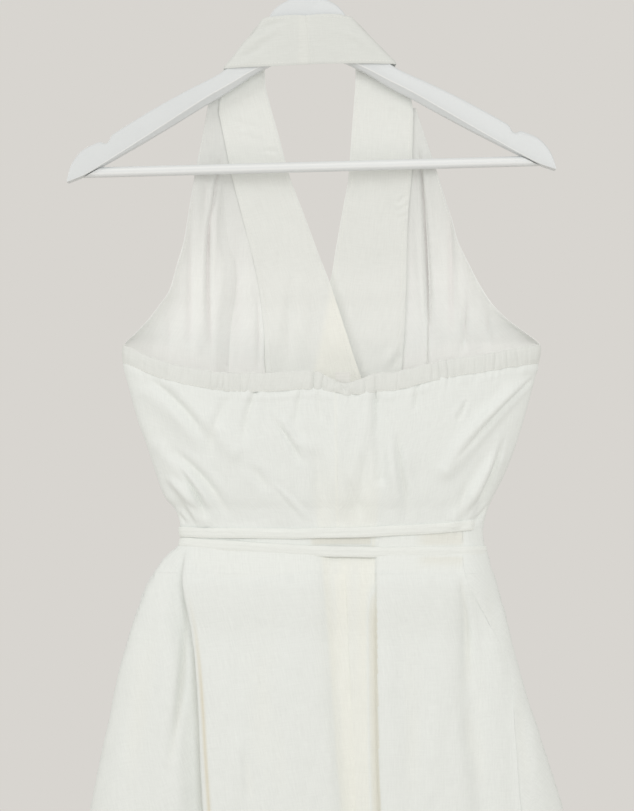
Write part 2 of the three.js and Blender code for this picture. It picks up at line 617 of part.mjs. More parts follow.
const bandRight = () => frontBand(NECK_RIGHT, "rightIn", "rightOut", frontRight, () => 0);

// Ties. The upper one comes out of the right side seam, crosses the back and goes round the left side. The
// lower one starts at the outer front's edge, goes round the left side, the back and the right side. They
// meet in a knot on the front.
const TIE_LINES = [
  { turn: -1.85, upper: -560, lower: -572 },
  { turn: -1.3, upper: -554, lower: -567 },
  { turn: -1, upper: -550, lower: -560 },
  { turn: -0.85, upper: -550.3, lower: -560.6 },
  { turn: -0.5, upper: -550.6, lower: -564 },
  { turn: 0, upper: -550.3, lower: -567.3 },
  { turn: 0.5, upper: -547.6, lower: -567.8 },
  { turn: 0.85, upper: -544.4, lower: -567.8 },
  { turn: 1, upper: -544, lower: -568 },
  { turn: 1.5, upper: -546, lower: -569 },
  { turn: 2.3, upper: -546, lower: -566 },
];
const TIE_HALF = 4.3;
function tie(turns, name, out) {
  const rows = [-1, -0.35, 0.35, 1];
  const grid = rows.map((row) =>
    turns.map((turn) => {
      const z = lookup(TIE_LINES, "turn", turn, name) + row * TIE_HALF;
      const bulge = 0.6 * (1 - row * row);
      return dressPoint(turn, z, TAUT_FOLDS).addScaledVector(outward(turn, z, TAUT_FOLDS), out(turn) + bulge);
    }),
  );
  return wall(grid, TIE_CLOTH);
}
const TIE_OUT = DOUBLED / 2 + SEAM_GAP + TIE_CLOTH / 2 + 0.6;
const tieOut = (turn) => TIE_OUT + 1.3 * smooth((Math.abs(turn) - 1.4) / 0.2);
const sweep = (from, to, count) => Array.from({ length: count }, (_, n) => mix(from, to, n / (count - 1)));
const LEFT_SIDE = [-1.16, -1.06, -1.015, -1, -0.985, -0.95, -0.9];
const RIGHT_SIDE = [0.84, 0.862, 0.877, 0.895, 0.93, 0.96, 0.985, 1, 1.015, 1.06, 1.16];
const tieUpper = () =>
  tie([...sweep(-1.631, -1.25, 5), ...LEFT_SIDE, ...sweep(-0.8, 0.84, 12)], "upper", tieOut);
const tieLower = () => {
  const left = [...sweep(-1.4, -1.25, 3), ...LEFT_SIDE];
  const right = [...RIGHT_SIDE, ...sweep(1.3, 2.185, 8)];
  return tie([...left, ...sweep(-0.8, 0.76, 12), ...right], "lower", tieOut);
};

// The knot, a soft lump between the ends of the two ties, and its two free ends.
const KNOT = { x: -16.3, y: 27.9, z: -561.5, halfWide: 10.6, halfDeep: 3.4, halfHigh: 8 };
function tieKnot() {
  const outlines = [];
  for (let n = 0; n <= 8; n++) {
    const lean = -Math.PI / 2 + (Math.PI * (n + 0.35)) / 8.7;
    const size = Math.cos(lean) ** 0.8;
    outlines.push(
      Array.from({ length: 10 }, (_, k) => {
        const turn = (2 * Math.PI * k) / 10;
        const lump = 1 + 0.07 * Math.cos(3 * turn + n);
        return new THREE.Vector3(
          KNOT.x + KNOT.halfWide * Math.sin(lean),
          KNOT.y + KNOT.halfDeep * size * lump * Math.cos(turn),
          KNOT.z + KNOT.halfHigh * size * lump * Math.sin(turn),
        );
      }),
    );
  }
  return loft(outlines);
}
const TAIL_ENDS = [
  { name: "tie_end_left", x: -22, lean: -0.07, length: 138 },
  { name: "tie_end_right", x: -11.5, lean: 0.05, length: 124 },
];
function tieEnd({ x, lean, length }) {
  const top = KNOT.z - KNOT.halfHigh - 0.35;
  const grid = evenRows(8).map((down) =>
    [-1, 0, 1].map((side) => {
      const z = top - length * down;
      const turn = frontRight(x + lean * length * down + side * TIE_HALF, z);
      return dressPoint(turn, z).addScaledVector(outward(turn, z), TIE_OUT + 2.2);
    }),
  );
  return wall(grid, TIE_CLOTH);
}

// The neck label is sewn inside the centre back and stands up behind the casing, where it sags.
const LABEL = { left: 27.5, right: 41, top: -404.5, bottom: -420, thick: 0.8, inside: 2.8 };
function neckLabel() {
  const grid = [LABEL.top, (LABEL.top + LABEL.bottom) / 2, LABEL.bottom].map((z) =>
    [0, 0.5, 1].map((t) => {
      const turn = turnOfBack(mix(LABEL.left, LABEL.right, t), z);
      return dressPoint(turn, z).addScaledVector(outward(turn, z), -LABEL.inside);
    }),
  );
  return wall(grid, LABEL.thick);
}

// Hanger. Half of its flat body from the middle out: its top edge, the lower edge of its flat face, and how
// far the bevelled underside goes below that. The arm has a notch for straps near its end.
const HANGER_TOP = [
  { u: 0, w: -62 }, { u: 9, w: -62.9 }, { u: 18, w: -65.7 }, { u: 26.5, w: -70.5 }, { u: 32, w: -76 },
  { u: 35.8, w: -82 }, { u: 40, w: -87.8 }, { u: 50, w: -98.6 }, { u: 60, w: -109.3 }, { u: 70, w: -120.2 },
  { u: 77.7, w: -128.3 }, { u: 92, w: -136 }, { u: 108, w: -143.5 }, { u: 137, w: -158.5 },
  { u: 158, w: -170.3 }, { u: 176, w: -181 }, { u: 181, w: -185.3 }, { u: 184, w: -190 },
  { u: 186.5, w: -191.8 }, { u: 189, w: -190 }, { u: 191.3, w: -188.2 }, { u: 198, w: -191.5 },
  { u: 206, w: -195.9 }, { u: 211, w: -200 }, { u: 214.8, w: -204.5 }, { u: 218, w: -209.5 },
  { u: 220.5, w: -215.5 }, { u: 222.5, w: -224.4 },
];
const HANGER_FACE = [
  { u: 0, w: -119, under: 3 },
  { u: 25, w: -121.5, under: 3 },
  { u: 50, w: -128, under: 4 },
  { u: 72.8, w: -140.5, under: 6 },
  { u: 94.3, w: -152, under: 6.5 },
  { u: 127.4, w: -172.2, under: 5.5 },
  { u: 158.5, w: -191.3, under: 3.5 },
  { u: 193.7, w: -212.3, under: 1 },
  { u: 207.1, w: -219.7, under: 0.6 },
  { u: 222.5, w: -225.7, under: 0.4 },
];
function hangerBody() {
  const stations = [...[...HANGER_TOP].reverse().map(({ u, w }) => ({ u: -u, w })), ...HANGER_TOP.slice(1)];
  return loft(
    stations.map(({ u, w }) => {
      const face = lookup(HANGER_FACE, "u", Math.abs(u), "w");
      const under = lookup(HANGER_FACE, "u", Math.abs(u), "under");
      const round = Math.min(3, 0.3 * (w - face));
      const half = HANGER_HALF_THICK;
      const outline = [
        [-half, w - round], [round - half, w], [half - round, w], [half, w - round],
        [half, face], [half - 0.9 * under, face - under], [0.9 * under - half, face - under], [-half, face],
      ];
      return outline.map(([y, z]) => new THREE.Vector3(u, y, z));
    }),
  );
}

// The trouser bar's ends are cut to the slope of the arms' undersides.
const BAR_LEVEL = -217.2;
function hangerBar() {
  const ring = (side) =>
    Array.from({ length: 12 }, (_, k) => {
      const turn = (2 * Math.PI * k) / 12;
      const w = BAR_LEVEL + (BAR_DIAMETER / 2) * Math.sin(turn);
      const end = 193.7 + (-213.5 - w) / 0.55 - 1.2;
      return new THREE.Vector3(side * end, (BAR_DIAMETER / 2) * Math.cos(turn), w);
    });
  return loft([ring(-1), ring(1)]);
}

// The hook's wire stands on the crest, goes round the rail and ends open.
function hangerHook() {
  const inner = 19;
  const middle = inner + WIRE_DIAMETER / 2;
  const onLoop = (degrees) => {
    const turn = THREE.MathUtils.degToRad(degrees);
    return new THREE.Vector3(middle * Math.cos(turn), 0, -inner + middle * Math.sin(turn));
  };
  const path = new THREE.CatmullRomCurve3([
    new THREE.Vector3(0, 0, -62 + SEAM_GAP),
    new THREE.Vector3(0, 0, -53),
    new THREE.Vector3(3.5, 0, -43.5),
    ...[-48, -20, 10, 35, 60, 90, 120, 145, 170, 195, 212].map(onLoop),
  ]);
  const steps = 34;
  return loft(
    Array.from({ length: steps + 1 }, (_, n) => {
      const middlePoint = path.getPoint(n / steps);
      const way = n === 0 ? new THREE.Vector3(0, 0, 1) : path.getTangent(n / steps);
      const side = new THREE.Vector3(way.z, 0, -way.x).normalize();
      return Array.from({ length: 8 }, (_unused, k) => {
        const turn = (2 * Math.PI * k) / 8;
        return middlePoint
          .clone()
          .addScaledVector(side, (WIRE_DIAMETER / 2) * Math.cos(turn))
          .add(new THREE.Vector3(0, (WIRE_DIAMETER / 2) * Math.sin(turn), 0));
      });
    }),
  );
}

const linen = new THREE.MeshStandardMaterial({ color: 0xe6e7e0, roughness: 0.9, metalness: 0 });
const paint = new THREE.MeshStandardMaterial({ color: 0xdee0dd, roughness: 0.45, metalness: 0 });
const steel = new THREE.MeshStandardMaterial({ color: 0xc8c8c8, roughness: 0.3, metalness: 1 });
const assembly = new THREE.Group();
function add(name, geometry, material, parent = assembly) {
  const mesh = new THREE.Mesh(geometry, material.clone());
  mesh.name = name;
  parent.add(mesh);
}
add("band_left", bandLeft(), linen);
add("band_right", bandRight(), linen);
add("front_bodice_left", frontBodiceLeft(), linen);
add("front_bodice_right", frontBodiceRight(), linen);
add("back_casing", backCasing(), linen);
add("back_bodice_left", backBodiceLeft(), linen);
add("back_bodice_right", backBodiceRight(), linen);
add("waistband_back", waistbandBack(), linen);
add("waistband_inner", waistbandInner(), linen);
add("waistband_outer", waistbandOuter(), linen);
add("tie_upper", tieUpper(), linen);
add("tie_lower", tieLower(), linen);
add("tie_knot", tieKnot(), linen);
for (const end of TAIL_ENDS) add(end.name, tieEnd(end), linen);
add("neck_label", neckLabel(), linen);
add("skirt_back_left", skirtBackLeft(), linen);
add("skirt_back_right", skirtBackRight(), linen);
add("skirt_front_inner", skirtFrontInner(), linen);
add("skirt_front_outer", skirtFrontOuter(), linen);

const hanger = new THREE.Group();
hanger.name = "hanger";
hanger.rotation.y = -HANGER_TILT;
add("hanger_body", hangerBody(), paint, hanger);
add("hanger_bar", hangerBar(), paint, hanger);
add("hanger_hook", hangerHook(), steel, hanger);
assembly.add(hanger);

export default assembly;
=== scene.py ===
# A linen halter dress with a wrapped front on a white wooden hanger, seen from its back.
import math

import bpy
import numpy as np
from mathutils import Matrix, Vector


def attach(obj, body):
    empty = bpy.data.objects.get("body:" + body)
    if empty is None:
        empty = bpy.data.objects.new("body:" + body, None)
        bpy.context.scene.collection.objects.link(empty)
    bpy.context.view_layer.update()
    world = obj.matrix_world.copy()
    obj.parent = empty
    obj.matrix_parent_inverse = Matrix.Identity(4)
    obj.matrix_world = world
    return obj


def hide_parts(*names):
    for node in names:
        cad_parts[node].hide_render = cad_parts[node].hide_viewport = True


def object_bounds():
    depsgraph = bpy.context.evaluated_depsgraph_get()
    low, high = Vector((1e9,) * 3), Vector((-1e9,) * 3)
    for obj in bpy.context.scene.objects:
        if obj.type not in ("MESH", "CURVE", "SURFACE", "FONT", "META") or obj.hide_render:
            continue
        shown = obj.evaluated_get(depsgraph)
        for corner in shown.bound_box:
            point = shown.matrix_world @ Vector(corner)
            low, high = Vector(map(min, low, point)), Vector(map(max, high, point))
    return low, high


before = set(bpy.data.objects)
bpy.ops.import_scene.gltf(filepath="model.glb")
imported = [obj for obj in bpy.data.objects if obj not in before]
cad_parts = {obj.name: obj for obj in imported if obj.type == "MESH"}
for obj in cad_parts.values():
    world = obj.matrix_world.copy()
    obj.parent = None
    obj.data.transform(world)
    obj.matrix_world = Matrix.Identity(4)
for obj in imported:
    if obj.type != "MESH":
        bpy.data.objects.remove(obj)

CAD_BOX = [list(corner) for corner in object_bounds()]

# Camera: level, square on to the dress's back and 2.2 m from the hanger, with a portrait lens. SEEN_HIGH is
# the height that it sees at the hanger, and EYE is where it looks through.
SEEN_HIGH = 0.7403
SENSOR_WIDE = 36
EYE = Vector((0.01095, -2.2, -0.43496))
camera_data = bpy.data.cameras.new("portrait_lens")
camera_data.sensor_width = SENSOR_WIDE
camera_data.lens = SENSOR_WIDE * -EYE.y / SEEN_HIGH
camera = bpy.data.objects.new("camera", camera_data)
camera.location = EYE
camera.rotation_euler = (math.pi / 2, 0, 0)
bpy.context.collection.objects.link(camera)
bpy.context.scene.camera = camera

# Studio: even light from all round in the colour of the pale paper behind, a large softbox up on the left, a
# larger one in front, a weak one behind, and a pale floor below the hem that catches the light from above.
PAPER = 0xD8D5D0
FLOOR_DROP = 0.03
FLOOR_RADIUS = 1.5
FLOOR_CORNERS = 96


def srgb(hex_colour):
    """An sRGB hex colour as linear RGBA."""
    channels = [(hex_colour >> shift & 255) / 255 for shift in (16, 8, 0)]
    return (*(c / 12.92 if c <= 0.04045 else ((c + 0.055) / 1.055) ** 2.4 for c in channels), 1.0)


def node(tree, kind, links=(), **settings):
    """A node with its settings and the sockets that feed it, as (input, from socket) or (input, value)."""
    made = tree.nodes.new(kind)
    for name, value in settings.items():
        setattr(made, name, value)
    for place, value in links:
        if isinstance(value, bpy.types.NodeSocket):
            tree.links.new(value, made.inputs[place])
        else:
            made.inputs[place].default_value = value
    return made


def new_material(name):
    material = bpy.data.materials.new(name)
    material.use_nodes = True
    material.node_tree.nodes.clear()
    return material, material.node_tree
def noise(tree, scale, detail, place=None, roughness=0.5):
    """Cloudy noise over a piece, or over the coordinates given."""
    links = [("Scale", scale), ("Detail", detail), ("Roughness", roughness)]
    if place is not None:
        links.append(("Vector", place))
    return node(tree, "ShaderNodeTexNoise", links).outputs["Fac"]


def blended(tree, share, first, second):
    """A colour some share of the way from the first to the second, each an sRGB hex colour or a socket."""
    first, second = (srgb(colour) if isinstance(colour, int) else colour for colour in (first, second))
    return node(tree, "ShaderNodeMix", [(0, share), (6, first), (7, second)], data_type="RGBA").outputs[2]


def surfaced(tree, links):
    """A material's shader, with the sockets that feed it, joined to its output."""
    shader = node(tree, "ShaderNodeBsdfPrincipled", links)
    node(tree, "ShaderNodeOutputMaterial", [("Surface", shader.outputs[0])])


def add_softbox(name, place, aim, size, power):
    light = bpy.data.lights.new(name, "AREA")
    light.shape, light.size, light.energy = "DISK", size, power
    softbox = bpy.data.objects.new(name, light)
    softbox.location = place
    softbox.rotation_euler = (Vector(aim) - Vector(place)).to_track_quat("-Z", "Y").to_euler()
    bpy.context.collection.objects.link(softbox)


world = bpy.data.worlds.new("studio")
bpy.context.scene.world = world
world.use_nodes = True
background = world.node_tree.nodes["Background"]
background.inputs["Color"].default_value = srgb(PAPER)
background.inputs["Strength"].default_value = 1.0
bpy.context.scene.view_settings.view_transform = "Standard"
add_softbox("softbox_left", (-2.2, -1.6, 0.5), (0.0, 0.0, -0.55), 1.0, 11.5)
add_softbox("softbox_front", (0.8, -2.65, 0.25), (0.03, 0.0, -0.55), 1.8, 19.3)
add_softbox("softbox_behind", (-0.9, 2.6, 0.3), (0.0, 0.0, -0.6), 1.4, 9)

paper_floor, tree = new_material("pale_floor_paper")
tone = blended(tree, noise(tree, 60.0, 4.0), 0xD4D1CC, PAPER)
surfaced(tree, [("Base Color", tone), ("Roughness", 0.9)])
floor_level = CAD_BOX[0][2] - FLOOR_DROP
corner_turns = [2 * math.pi * k / FLOOR_CORNERS for k in range(FLOOR_CORNERS)]
rim = [(FLOOR_RADIUS * math.cos(turn), FLOOR_RADIUS * math.sin(turn), floor_level) for turn in corner_turns]
floor_mesh = bpy.data.meshes.new("floor")
floor_mesh.from_pydata(rim, [], [list(range(FLOOR_CORNERS))])
floor_mesh.materials.append(paper_floor)
floor = bpy.data.objects.new("floor", floor_mesh)
bpy.context.collection.objects.link(floor)

# Hanger body: one flat piece of wood, cut with a crest, sloping arms and a strap notch near each end, its
# edges rounded and its underside bevelled, then painted white. It leans a little down to the left.
MM = 0.001
HANGER_TILT = math.radians(1.5)
HALF_THICK = 8.5
HANGER_END = 222.5
NOTCH_START = 176
EDGE_ROUND = 3.2
# The bevel's corner, as a point of hanger_outline, where a highlight line is painted.
BEVEL_CORNER = 8


def columns(names, rows):
    """A table by its columns' names, in the order of its first column."""
    return {name: np.array(column, float) for name, column in zip(names.split(), zip(*sorted(rows)))}


def smooth_through(keys, values, at):
    """Values at some keys, read on a smooth curve through all of them."""
    at = np.clip(at, keys[0], keys[-1])
    i = np.clip(np.searchsorted(keys, at) - 1, 0, len(keys) - 2)
    before, after = np.maximum(i - 1, 0), np.minimum(i + 2, len(keys) - 1)
    wide = (...,) + (None,) * (values.ndim - 1)
    span = (keys[i + 1] - keys[i])[wide]
    a, b = values[i], values[i + 1]
    leave = (b - values[before]) / (keys[i + 1] - keys[before])[wide] * span
    arrive = (values[after] - a) / (keys[after] - keys[i])[wide] * span
    t = (at - keys[i])[wide] / span
    return a + t * (leave + t * (3 * (b - a) - 2 * leave - arrive + t * (2 * (a - b) + leave + arrive)))


def read(table, name, at):
    return smooth_through(next(iter(table.values())), table[name], np.asarray(at, float))


def mix(a, b, t):
    return a + (b - a) * t


def smooth(t):
    t = np.clip(t, 0, 1)
    return t * t * (3 - 2 * t)


# Half of the body from the middle out: u outwards, top its upper edge, face the lower edge of its flat face,
# under how far the bevel goes below that.
HANGER_TOP = columns("u top", [
    (0, -62), (9, -62.9), (18, -65.7), (26.5, -70.5), (32, -76), (35.8, -82), (40, -87.8), (50, -98.6),
    (60, -109.3), (70, -120.2), (77.7, -128.3), (92, -136), (108, -143.5), (137, -158.5), (158, -170.3),
    (176, -181), (181, -184.6), (183.4, -189.2), (186.5, -191.4), (189, -190.9), (191.3, -189.9), (198, -192.1),
    (206, -195.9), (211, -200), (214.8, -204.5), (218, -209.5), (220.5, -215.5), (222.5, -224.4),
])
HANGER_FACE = columns("u face under", [
    (0, -115.5, 3), (25, -117.5, 3), (50, -128, 4), (72.8, -140.5, 6), (94.3, -152, 6.5), (127.4, -172.2, 5.5),
    (158.5, -191.3, 3.5), (193.7, -212.3, 1), (207.1, -219.7, 0.6), (222.5, -225.7, 0.4),
])


def tilted(points):
    """Points of the hanger, in millimetres, as it hangs."""
    x, y, z = np.moveaxis(np.asarray(points, float), -1, 0)
    turn = -HANGER_TILT
    return np.stack([x * math.cos(turn) + z * math.sin(turn), y, z * math.cos(turn) - x * math.sin(turn)], -1)


def outward_volume(points, faces):
    """Six times the volume inside closed faces of four corners, below zero where they are inside out."""
    a, b, c, d = (points[faces[:, k]] for k in range(4))
    return np.einsum("ij,ij->", a, np.cross(b, c)) + np.einsum("ij,ij->", a, np.cross(c, d))


def make_piece(name, points, faces, material, sharp=50):
    """A mesh of four-cornered faces from points in millimetres, riding on the one body."""
    points, faces = np.asarray(points, float).reshape(-1, 3), np.asarray(faces)
    if outward_volume(points, faces) < 0:
        faces = faces[:, ::-1]
    mesh = bpy.data.meshes.new(name)
    mesh.from_pydata((points * MM).tolist(), [], [list(dict.fromkeys(face)) for face in faces.tolist()])
    mesh.validate()
    mesh.shade_smooth()
    mesh.set_sharp_from_angle(angle=math.radians(sharp))
    mesh.materials.append(material)
    piece = bpy.data.objects.new(name, mesh)
    bpy.context.collection.objects.link(piece)
    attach(piece, "root")
    return piece


def lofted(outlines):
    """Points and faces of a solid through closed outlines of an even number of points, closed at both ends."""
    rings, around = outlines.shape[:2]
    i, j = np.meshgrid(np.arange(rings - 1), np.arange(around), indexing="ij")
    here, beside = i * around + j, i * around + (j + 1) % around
    walls = np.stack([here, beside, beside + around, here + around], -1).reshape(-1, 4)
    k = np.arange(around // 2 - 1)
    cap = np.stack([k, k + 1, around - 2 - k, around - 1 - k], -1)
    return outlines.reshape(-1, 3), np.concatenate([walls, cap[:, ::-1], cap + (rings - 1) * around])


def spread(tree, value, low, high, start=0.0, end=1.0):
    """A value from start to end, spread from low to high."""
    links = [("Value", value), (1, start), (2, end), (3, low), (4, high)]
    return node(tree, "ShaderNodeMapRange", links).outputs[0]


def bumped(tree, height, strength, distance):
    links = [("Height", height), ("Strength", strength), ("Distance", distance)]
    return node(tree, "ShaderNodeBump", links).outputs[0]


def keep(piece, name, values, kind="FLOAT", key="value"):
    """Values at a piece's points, which its material reads by name."""
    kept = piece.data.attributes.new(name, kind, "POINT")
    kept.data.foreach_set(key, np.asarray(values, float).ravel())


# Sprayed white paint on sanded wood: nearly flat, with a satin gloss and a faint orange-peel skin, and painted
# # highlights: thin bright lines along the bevel's corners and along the bar, which is painted lighter all
# over.
white_paint, tree = new_material("sprayed_white_paint_on_wood")
place = node(tree, "ShaderNodeTexCoord").outputs["Object"]
peel, cloudy = noise(tree, 420.0, 2.0, place), noise(tree, 24.0, 3.0, place)
painted_highlight = node(tree, "ShaderNodeAttribute", attribute_name="painted_highlight").outputs["Fac"]
surfaced(tree, [
    ("Base Color", blended(tree, painted_highlight, blended(tree, cloudy, 0xDBDFE1, 0xE1E5E7), 0xF6F8F8)),
    ("Roughness", spread(tree, cloudy, 0.4, 0.55)), ("Normal", bumped(tree, peel, 0.12, 0.0004)),
    ("IOR", 1.5), ("Coat Weight", 0.15)])


def hanger_outline(u):
    """The body's cut across the arm at u: rounded top edges, flat faces and a bevelled underside."""
    top = float(read(HANGER_TOP, "top", abs(u)))
    face, under = (float(read(HANGER_FACE, name, abs(u))) for name in ("face", "under"))
    face = min(face, top - 0.8)
    edge = min(EDGE_ROUND, 0.3 * (top - face))
    low = HALF_THICK - 0.9 * under
    corner = min(0.6, 0.3 * under + 0.1)
    bends = np.linspace(0, math.pi / 2, 6)
    side = [(HALF_THICK - edge + edge * math.sin(a), top - edge + edge * math.cos(a)) for a in bends]
    side += [(HALF_THICK, mix(top - edge, face, 0.5)), (HALF_THICK, face + corner)]
    bevel_top = (HALF_THICK - 0.35 * corner, face - 0.6 * corner)
    side += [bevel_top, (mix(bevel_top[0], low, 0.15), mix(bevel_top[1], face - under, 0.15))]
    side += [(low + 0.7 * corner, face - under + 0.5 * corner), (low - 0.5 * corner, face - under)]
    side += [(0.45 * low, face - under)]
    return [(u, y, z) for y, z in side] + [(u, -y, z) for y, z in reversed(side)]


stations = [np.arange(0, NOTCH_START, 4), np.arange(NOTCH_START, HANGER_END, 1.1), [HANGER_END]]
stations = np.unique(np.concatenate(stations))
stations = np.concatenate([-stations[:0:-1], stations])
hanger_points, hanger_faces = lofted(np.array([hanger_outline(u) for u in stations]))
hanger_body = make_piece(
    "painted_hanger_body", tilted(hanger_points), hanger_faces, white_paint, sharp=20)
# A painted highlight: a thin bright line along the bevel's corner on either face.
highlight_points = np.zeros(len(hanger_outline(0)))
highlight_points[[BEVEL_CORNER, -1 - BEVEL_CORNER]] = 1
keep(hanger_body, "painted_highlight", np.tile(highlight_points, len(stations)))
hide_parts("hanger_body")

# Hanger bar: a turned wooden rod glued between the arms' ends, painted with them. ARM_X and ARM_Z are a point
# of the arm's underside, which falls by ARM_SLOPE, and the bar stops a little short of it.
BAR_LEVEL = -217.2
BAR_RADIUS = 4.8
ARM_X, ARM_Z, ARM_SLOPE = 193.7, -213.5, 0.55
turns = np.linspace(0, 2 * math.pi, 48, endpoint=False)
bar_z = BAR_LEVEL + BAR_RADIUS * np.sin(turns)
bar_reach = ARM_X + (ARM_Z - bar_z) / ARM_SLOPE - 1.2
bar_rings = np.array([
    np.stack([share * bar_reach, BAR_RADIUS * np.cos(turns), bar_z], -1) for share in np.linspace(-1, 1, 41)])
bar_points, bar_faces = lofted(bar_rings)
hanger_bar = make_piece(
    "painted_trouser_bar", tilted(bar_points), bar_faces, white_paint, sharp=40)
# Painted highlights on the bar: two thin bright lines along it, above and below its middle, over a lighter tone
# all round.
above, below = (np.exp(-((np.sin(turns) - level) / 0.13) ** 2) for level in (0.35, -0.3))
keep(hanger_bar, "painted_highlight", np.tile(0.35 + 0.5 * np.maximum(above, below), len(bar_rings)))
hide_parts("hanger_bar")

# Hanger hook: a wire of bright drawn steel, like a mirror drawn out a little along it, bent over the rail, its
# foot screwed into the crest and its tip rounded.
WIRE_RADIUS = 2.0
HOOK_BEND = 21.0
bright_steel, tree = new_material("bright_drawn_steel_wire")
drawn = noise(tree, 900.0, 3.0, node(tree, "ShaderNodeTexCoord").outputs["Object"])
gloss = spread(tree, drawn, 0.16, 0.32)
surfaced(tree, [("Base Color", srgb(0xC9C9C7)), ("Metallic", 1.0), ("Roughness", gloss)])


def unit(vectors):
    """Vectors brought to a length of 1."""
    return vectors / np.maximum(np.linalg.norm(vectors, axis=-1, keepdims=True), 1e-9)


def run_along(points, axis=0):
    """How far along its line each point lies, for lines of points that follow an axis."""
    steps = np.linalg.norm(np.diff(points, axis=axis), axis=-1)
    return np.concatenate([0 * np.take(steps, [0], axis), np.cumsum(steps, axis=axis)], axis)


def tube(path, radii, around=14):
    """Points and faces of a round wire along a path in the hanger's plane."""
    way = unit(np.gradient(path, axis=0))
    side = np.stack([way[:, 2], np.zeros(len(path)), -way[:, 0]], -1)
    turns = np.linspace(0, 2 * math.pi, around, endpoint=False)
    turns = turns[None, :, None]
    ring = side[:, None] * np.cos(turns) + np.array([0.0, 1.0, 0.0]) * np.sin(turns)
    return lofted(path[:, None] + ring * np.asarray(radii)[:, None, None])


bend = [math.radians(a) for a in (-48, -20, 10, 35, 60, 90, 120, 145, 170, 195, 212)]
hook_stops = np.array(
    [(0, 0, -61.7), (0, 0, -53), (3.5, 0, -43.5)]
    + [(HOOK_BEND * math.cos(a), 0, HOOK_BEND * math.sin(a) - 19) for a in bend])
hook_run = run_along(hook_stops)
hook_steps = np.linspace(0, hook_run[-1], 110)
from_tip = np.clip((hook_run[-1] - hook_steps) / WIRE_RADIUS, 0, 1)
hook_radii = WIRE_RADIUS * np.sqrt(np.clip(1 - (1 - from_tip) ** 2, 0.02, 1))
hook_points, hook_faces = tube(smooth_through(hook_run, hook_stops, hook_steps), hook_radii)
hanger_hook = make_piece("steel_wire_hook", tilted(hook_points), hook_faces, bright_steel)
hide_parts("hanger_hook")

# Neck bands, which are also the front bands: each is a doubled strip of linen, joined to the other at the
# centre back, laid over the hanger's shoulder and hung down the front to the waist, where the two cross.
DOUBLED = 2.0
SINGLE = 1.2
WAIST_TOP = -546
SKIRT_TOP = -587
HEM = -1290
# The dress's cut across is an oval that FLATNESS squares off. A band lies BAND_OUT inside the front, and the
# front that lies inside the other is WRAP_DEPTH further in from WRAP_TOP down.
FLATNESS = 2.6
BAND_OUT = 1.9
WRAP_DEPTH = 6.0
WRAP_TOP = -200

# The dress by height: its outlines as seen from the back, how far its sides lie in front of the hanger's
# middle (rim), and how far the cloth stands out from there halfway between them.
SECTIONS = columns("z left right rim back front", [
    (-150, -89.5, 101, 11, 4, 2), (-160.7, -91.3, 103.2, 11, 4, 2.5), (-192.6, -97.4, 114, 10, 6, 5),
    (-220, -103.1, 123.2, 9, 8, 9), (-252, -108.6, 133.1, 8, 11, 15), (-283.9, -114.1, 143.5, 7, 15, 21),
    (-306.7, -120.9, 153.7, 6, 18, 26), (-329.5, -127.8, 166.3, 5, 20, 29), (-343.2, -136.9, 176, 4.5, 22, 31),
    (-356.9, -146, 188.1, 4, 23, 32), (-368.8, -155.5, 202.5, 3, 25, 33), (-379.7, -165.5, 214.3, 2, 26, 34),
    (-398.9, -165.5, 212, 1, 28, 35), (-417.2, -160.8, 207.5, 0, 29, 35), (-446.4, -152.8, 199.6, 0, 30, 34),
    (-472.9, -143.4, 191.3, 0, 30, 32), (-497.5, -135.4, 181.6, 0, 28, 30), (-518.5, -127.3, 171.1, 0, 25, 27),
    (-529.4, -118, 166.2, 0, 22, 25), (-545, -113.3, 162.6, 0, 20, 23), (-560.5, -113.6, 163.2, 0, 20, 23),
    (-571.4, -125.7, 167, 0, 20, 23), (-581.5, -133.8, 169.5, 0, 21, 25), (-597.9, -144.2, 174.9, 0, 24, 28),
    (-617.1, -151.5, 179.2, 0, 28, 31), (-639.9, -158.8, 184.9, 0, 31, 34), (-681, -170.3, 196.7, 0, 36, 39),
    (-716.6, -177.6, 208.1, 0, 39, 42), (-761.3, -187.9, 223, 0, 43, 46), (-805.1, -197.3, 236.7, 0, 46, 49),
    (-1050, -249, 307, 0, 58, 61), (-1304, -300, 376, 0, 68, 71),
])


def fold(places, start, length, rise, rise_hem, run, lap=0, pocket=0):
    """A step in the cloth down the dress: its places by height, where it starts and is full, and its sizes."""
    return {"places": columns("z x", places), "start": start, "length": length, "rise": (rise, rise_hem),
            "run": run, "lap": lap, "pocket": pocket}


BACK_FOLDS = {
    "side_groove": fold([(-587, -124), (-640, -118), (-693, -112), (-805, -104), (-1304, -80)],
                        -580, 70, -9, -20, 7),
    "left_edge": fold([(-546, -107), (-585, -109.5), (-605, -107), (-637, -101), (-675, -96.5), (-715, -93.5),
                       (-751, -91.5), (-805, -88), (-1304, -55)], -554, 46, 10, 24, 3, lap=6),
    "centre_left": fold([(-546, 13), (-576, 15.5), (-630, 20), (-694, 24.5), (-758, 29), (-805, 33),
                         (-1304, 48)], -546, 50, -7.5, -20, 6.5),
    "centre_right": fold([(-546, 64.5), (-612, 64.5), (-805, 68), (-1304, 92)], -546, 50, 7.5, 20, 3, lap=2),
    "right_valley": fold([(-594, 143), (-722, 150), (-805, 158), (-1304, 205)],
                         -580, 60, -3, -6, 8, pocket=4),
    "right_edge": fold([(-546, 143), (-588, 145), (-630, 165), (-674, 185), (-738, 191), (-805, 196),
                        (-1304, 266)], -538, 12, 3.5, 6, 4.2),
}
